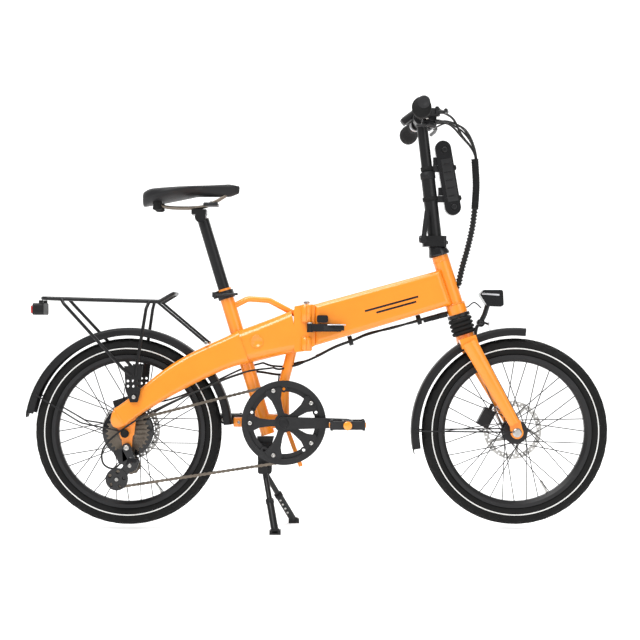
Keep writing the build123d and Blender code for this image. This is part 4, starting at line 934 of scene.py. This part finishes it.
# ---- frame details
def build_frame_details():
    pin = centre("main_hinge_pin")
    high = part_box("main_hinge_pin")[1]
    hinge_x = pin.x
    barrel_y = -0.0375
    lathe("hinge_pin_head", (pin.x, pin.y, high.z - 0.0005), (0, 0, 1), [(0, 0.0088), (0.002, 0.008),
        (0.0028, 0.0045), (0.0012, 0.004), (0.0012, 0.0001)], "rear_frame", black_satin, steps=32)
    # the latch's silver cover, its grip and the barrel on the hinge plates' right edge
    latch_low, latch_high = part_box("main_latch")
    block("latch_cover_plate", (0.052, latch_low.y + 0.0015, latch_high.z - 0.004), (0.05, 0.012, 0.0028),
        "main_latch", alloy, None, 0.001)
    block("latch_finger_pad", (0.045, latch_low.y + 0.0052, centre("main_latch").z - 0.001),
        (0.056, 0.003, 0.013), "main_latch", plastic_grey, None, 0.0014)
    for word, low_z, high_z in (("low", 0.486, 0.5245), ("high", 0.564, 0.6125)):
        for half, body, turn in (("rear", "rear_frame", -1), ("front", "front_frame", 1)):
            sections = []
            seam_x = hinge_x + turn * 0.0003
            for z, radius in ((low_z, 0.0125), (low_z + 0.002, 0.015),
                              (high_z - 0.004, 0.015), (high_z, 0.0105)):
                ring = [Vector((seam_x, barrel_y, z))]
                for n in range(13):
                    a = radians(-90 + turn * 90 * n / 12)
                    ring.append(Vector((seam_x + radius * cos(a), barrel_y + radius * sin(a) * 0.8, z)))
                sections.append(ring)
            skin(f"hinge_barrel_{half}_{word}", sections, body, orange)
    lathe("latch_pivot_cap", (-0.02, -0.05, 0.5608), (0, 0, 1), [(0, 0.0085), (0.002, 0.0082),
        (0.003, 0.0055), (0.0015, 0.004), (0.0015, 0.0001)], "main_latch", steel, steps=28)
    # the head tube's seams and the collar of its cable port
    for reach, radius in ((0.0265, 0.0273), (0.15, 0.0232)):
        lathe(f"head_ring_{int(reach * 10000)}", steer_at + steer_up * reach, steer_up, [(0, radius - 0.001),
            (0.0005, radius + 0.0004), (0.0022, radius + 0.0004), (0.0027, radius - 0.001)], "front_frame",
            orange, steps=64)
    lathe("cable_port_collar", port - Vector((0.006, 0, 0.001)), (0.75, 0, 0.66), [(0, 0.0115),
        (0.003, 0.0115), (0.005, 0.01), (0.005, 0.0085)], "front_frame", rubber, steps=28)
    # plain silver strip on the back of the seat tube
    tube_at = Vector((-0.2265, 0, 0.565))
    turn = Matrix((Vector((seat_up.z, 0, -seat_up.x)), Vector((0, 1, 0)), seat_up)).transposed()
    block("seat_tube_strip", tube_at + turn @ Vector((-0.0186, 0, 0)), (0.0016, 0.013, 0.062), "rear_frame",
        alloy, turn, 0.0006)
    # plain raised pinstripes where the beam would carry a name
    beam_up = turned(-15.4)
    for side, word in SIDES:
        for n, (length, drop) in enumerate(((0.15, 0.006), (0.112, -0.006))):
            block(f"beam_stripe_{word}_{n}",
                Vector((0.203, side * 0.0381, 0.608)) + beam_up @ Vector((0.01 * n, 0, drop)),
                (length, 0.0008, 0.0052), "front_frame", gloss_black, beam_up, 0.0003)
    block("beam_weld_front", (-0.0095, 0, 0.5555), (0.007, 0.0762, 0.1125), "front_frame", orange)
    block("beam_weld_rear", (-0.061, 0, 0.544), (0.006, 0.0796, 0.111), "rear_frame", orange)
    # each rear arm ends in a rounded point beside the dropout
    for side, word in SIDES:
        sections = []
        for x, z, tall, wide, slope in (
            (-0.526, 0.3105, 0.0575, 0.0178, 36), (-0.532, 0.302, 0.0535, 0.0176, 42),
            (-0.5375, 0.294, 0.042, 0.016, 52), (-0.5405, 0.287, 0.028, 0.013, 62),
            (-0.5418, 0.282, 0.012, 0.008, 68),
        ):
            lean = radians(slope)
            across = Vector((-sin(lean), 0, cos(lean)))
            ring = []
            for n in range(28):
                a = 2 * pi * n / 28
                c, d = cos(a), sin(a)
                up = tall / 2 * (abs(d) ** 0.55) * (1 if d > 0 else -1)
                out = wide / 2 * (abs(c) ** 0.6) * (1 if c > 0 else -1)
                ring.append(Vector((x, side * 0.08, z)) + across * up + Vector((0, out, 0)))
            sections.append(ring)
        skin("arm_end_" + word, sections, "rear_frame", orange)
    # battery charge port and key lock on the left of the beam
    lathe("charge_port_cover", (0.06, 0.0378, 0.56), (0, 1, 0), [(0, 0.013), (0.0022, 0.0126),
        (0.003, 0.01), (0.003, 0.0001)], "front_frame", rubber, steps=32)
    lathe("battery_key_lock", (0.1, 0.0378, 0.572), (0, 1, 0), [(0, 0.01), (0.0018, 0.0098),
        (0.0024, 0.008), (0.0016, 0.006), (0.0016, 0.0001)], "front_frame", steel, steps=32)
    # small orange bracket that holds the front end of the rear mudguard
    block("mudguard_bracket", (-0.214, 0, 0.291), (0.03, 0.02, 0.026), "rear_frame", orange, None, 0.004)
    cable("mudguard_bracket_arm", [(-0.166, 0, 0.2885), (-0.19, 0, 0.289), (-0.21, 0, 0.29)], 0.006,
        "rear_frame", orange)
    cap_screw("mudguard_bracket_bolt", (-0.214, -0.0102, 0.291), (0, -1, 0), 0.0042, "rear_frame")
    for side, word in SIDES:
        cap_screw("rack_bolt_" + word, (-0.49, side * 0.0962, 0.364), (0, side, 0), 0.0055, "rear_frame")
        cap_screw("rack_stay_bolt_" + word, (-0.3, side * 0.0575, 0.508), (0, side, 0), 0.0048,
            "rear_frame")
    # the handlepost hinge's knob, the post's collar and the headset's cone
    cable("post_hinge_knob_stem", [(0.3, 0.0, 0.788), (0.288, 0, 0.788), (0.279, 0, 0.788)], 0.0045,
        "handlepost", steel)
    lathe("post_hinge_knob", (0.289, 0, 0.791), (-1, 0, 0), [(0, 0.007), (0.001, 0.01), (0.008, 0.0105),
        (0.0105, 0.0085), (0.0115, 0.0001)], "handlepost", gloss_black, steps=28)
    lathe("post_neck_collar", Vector((POST_X, 0, POST_Z)) + post_up * 0.164, post_up, [(0, 0.019),
        (0.001, 0.0208), (0.016, 0.0208), (0.02, 0.0172), (0.022, 0.015)], "handlepost", plastic, steps=48)
    lathe("headset_cone", steer_at + steer_up * 0.1662, steer_up, [(0, 0.0232), (0.001, 0.0285),
        (0.006, 0.029), (0.022, 0.0238), (0.03, 0.0222), (0.0315, 0.0211)], "steerer", gloss_black,
        steps=56)


build_frame_details()


# ---- mudguards and stand
def build_guard_details():
    lip_r = 0.2628
    for word, hub, body, start, angle in (("front", front_hub, "fork", 84, 190.0),
                                          ("rear", rear_hub, "rear_frame", 4, 169.2)):
        for side, hand in SIDES:
            lip = []
            for n in range(49):
                a = radians(start + (angle - start) * n / 48)
                lip.append(hub + Vector((lip_r * cos(a), side * 0.0272, lip_r * sin(a))))
            cable(f"{word}_guard_lip_{hand}", lip[::4], 0.0013, body, plastic, sides=8)
        a = radians(angle - 1.2)
        sections = []
        for n in range(9):
            s = n / 8
            at_angle = a + s * 0.07
            out = radial(at_angle)
            half = 0.0275 * (1 - 0.35 * s ** 2)
            ring = []
            for r, y in ((0.2808, -half), (0.2822, -half), (0.2822, half), (0.2808, half)):
                ring.append(hub + out * (r - 0.0005) + Vector((0, y, 0)))
            sections.append(ring)
        skin(word + "_guard_flap", sections, body, rubber)
    for side, word in reversed(SIDES):
        body = "stand_" + word
        foot_x = -0.112 if word == "right" else -0.066
        block(f"stand_foot_{word}", (foot_x, side * 0.111, 0.0075), (0.025, 0.026, 0.015), body, rubber,
            None, 0.005)
        top = Vector((joint_at("stand_right_fold").x + 0.004, side * 0.038, 0.14))
        base = Vector((foot_x, side * 0.109, 0.006))
        run = base - top
        lathe(f"stand_sleeve_collar_{word}", top + run * 0.385, run, [(0, 0.008), (0.001, 0.0112),
            (0.012, 0.0114), (0.014, 0.0102)], body, plastic, steps=32)
        for n in range(4):
            across = run.normalized().cross(Vector((1, 0, 0))).normalized() * side
            spot = top + run * (0.5 + 0.09 * n)
            lathe(f"stand_hole_{word}_{n}", spot + across * 0.0098, across, [(0, 0.003), (0.0008, 0.003),
                (0.0008, 0.0018), (0.0002, 0.0017), (0.0002, 0.0001)], body, steel, steps=16)


build_guard_details()


# ---- floor, light and camera
def build_stage():
    floor = bpy.data.meshes.new("floor")
    reach, rise, steps = 14.0, 5.0, 24
    bend_y, bend_r = 3.2, 1.4
    verts, faces = [], []
    outline = [(-reach, 0.0)]
    for n in range(steps + 1):
        turn = pi / 2 * n / steps
        outline.append((bend_y + bend_r * sin(turn), bend_r - bend_r * cos(turn)))
    outline.append((bend_y + bend_r, rise))
    for y, z in outline:
        verts += [(-reach, y, z), (reach, y, z)]
    for n in range(len(outline) - 1):
        faces.append((2 * n, 2 * n + 1, 2 * n + 3, 2 * n + 2))
    floor.from_pydata(verts, [], faces)
    for face in floor.polygons:
        face.use_smooth = True
    sheet = bpy.data.objects.new("floor", floor)
    show(sheet)
    pale = bpy.data.materials.new("floor_pale")
    pale.use_nodes = True
    put(pale.node_tree.nodes["Principled BSDF"], {
        "Base Color": (0.9, 0.9, 0.9, 1), "Roughness": 0.6,
        "Emission Color": (1, 1, 1, 1), "Emission Strength": 0.32,
    })
    floor.materials.append(pale)

    world = bpy.data.worlds.new("studio")
    bpy.context.scene.world = world
    world.use_nodes = True
    put(world.node_tree.nodes["Background"], {"Color": (1, 1, 1, 1), "Strength": 0.45})
    lamps = (
        ("key", (-1.4, -2.4, 3.8), 2.2, 120), ("fill", (2.6, -3.4, 1.8), 2.6, 30),
        ("top", (0.0, 0.2, 4.0), 3.0, 90), ("rim", (1.6, 2.6, 2.6), 2.0, 40),
    )
    aim = Vector((0, 0, 0.55))
    for name, spot, size, power in lamps:
        light = bpy.data.lights.new(name, "AREA")
        light.shape = "DISK"
        light.size = size
        light.energy = power
        holder = bpy.data.objects.new(name, light)
        holder.location = spot
        holder.rotation_euler = (aim - Vector(spot)).to_track_quat("-Z", "Y").to_euler()
        show(holder)


def build_camera():
    """A level camera square on to the bicycle's right side."""
    distance = 4.0
    width_seen = 1.751
    sensor = 36.0
    lens = bpy.data.cameras.new("camera")
    lens.sensor_width = sensor
    lens.lens = sensor * distance / width_seen
    eye = bpy.data.objects.new("camera", lens)
    eye.location = (0.0074, -distance, 0.57)
    eye.rotation_euler = (radians(90), 0, 0)
    show(eye)
    bpy.context.scene.camera = eye


build_stage()
build_camera()
bpy.context.scene.view_settings.view_transform = "Standard"
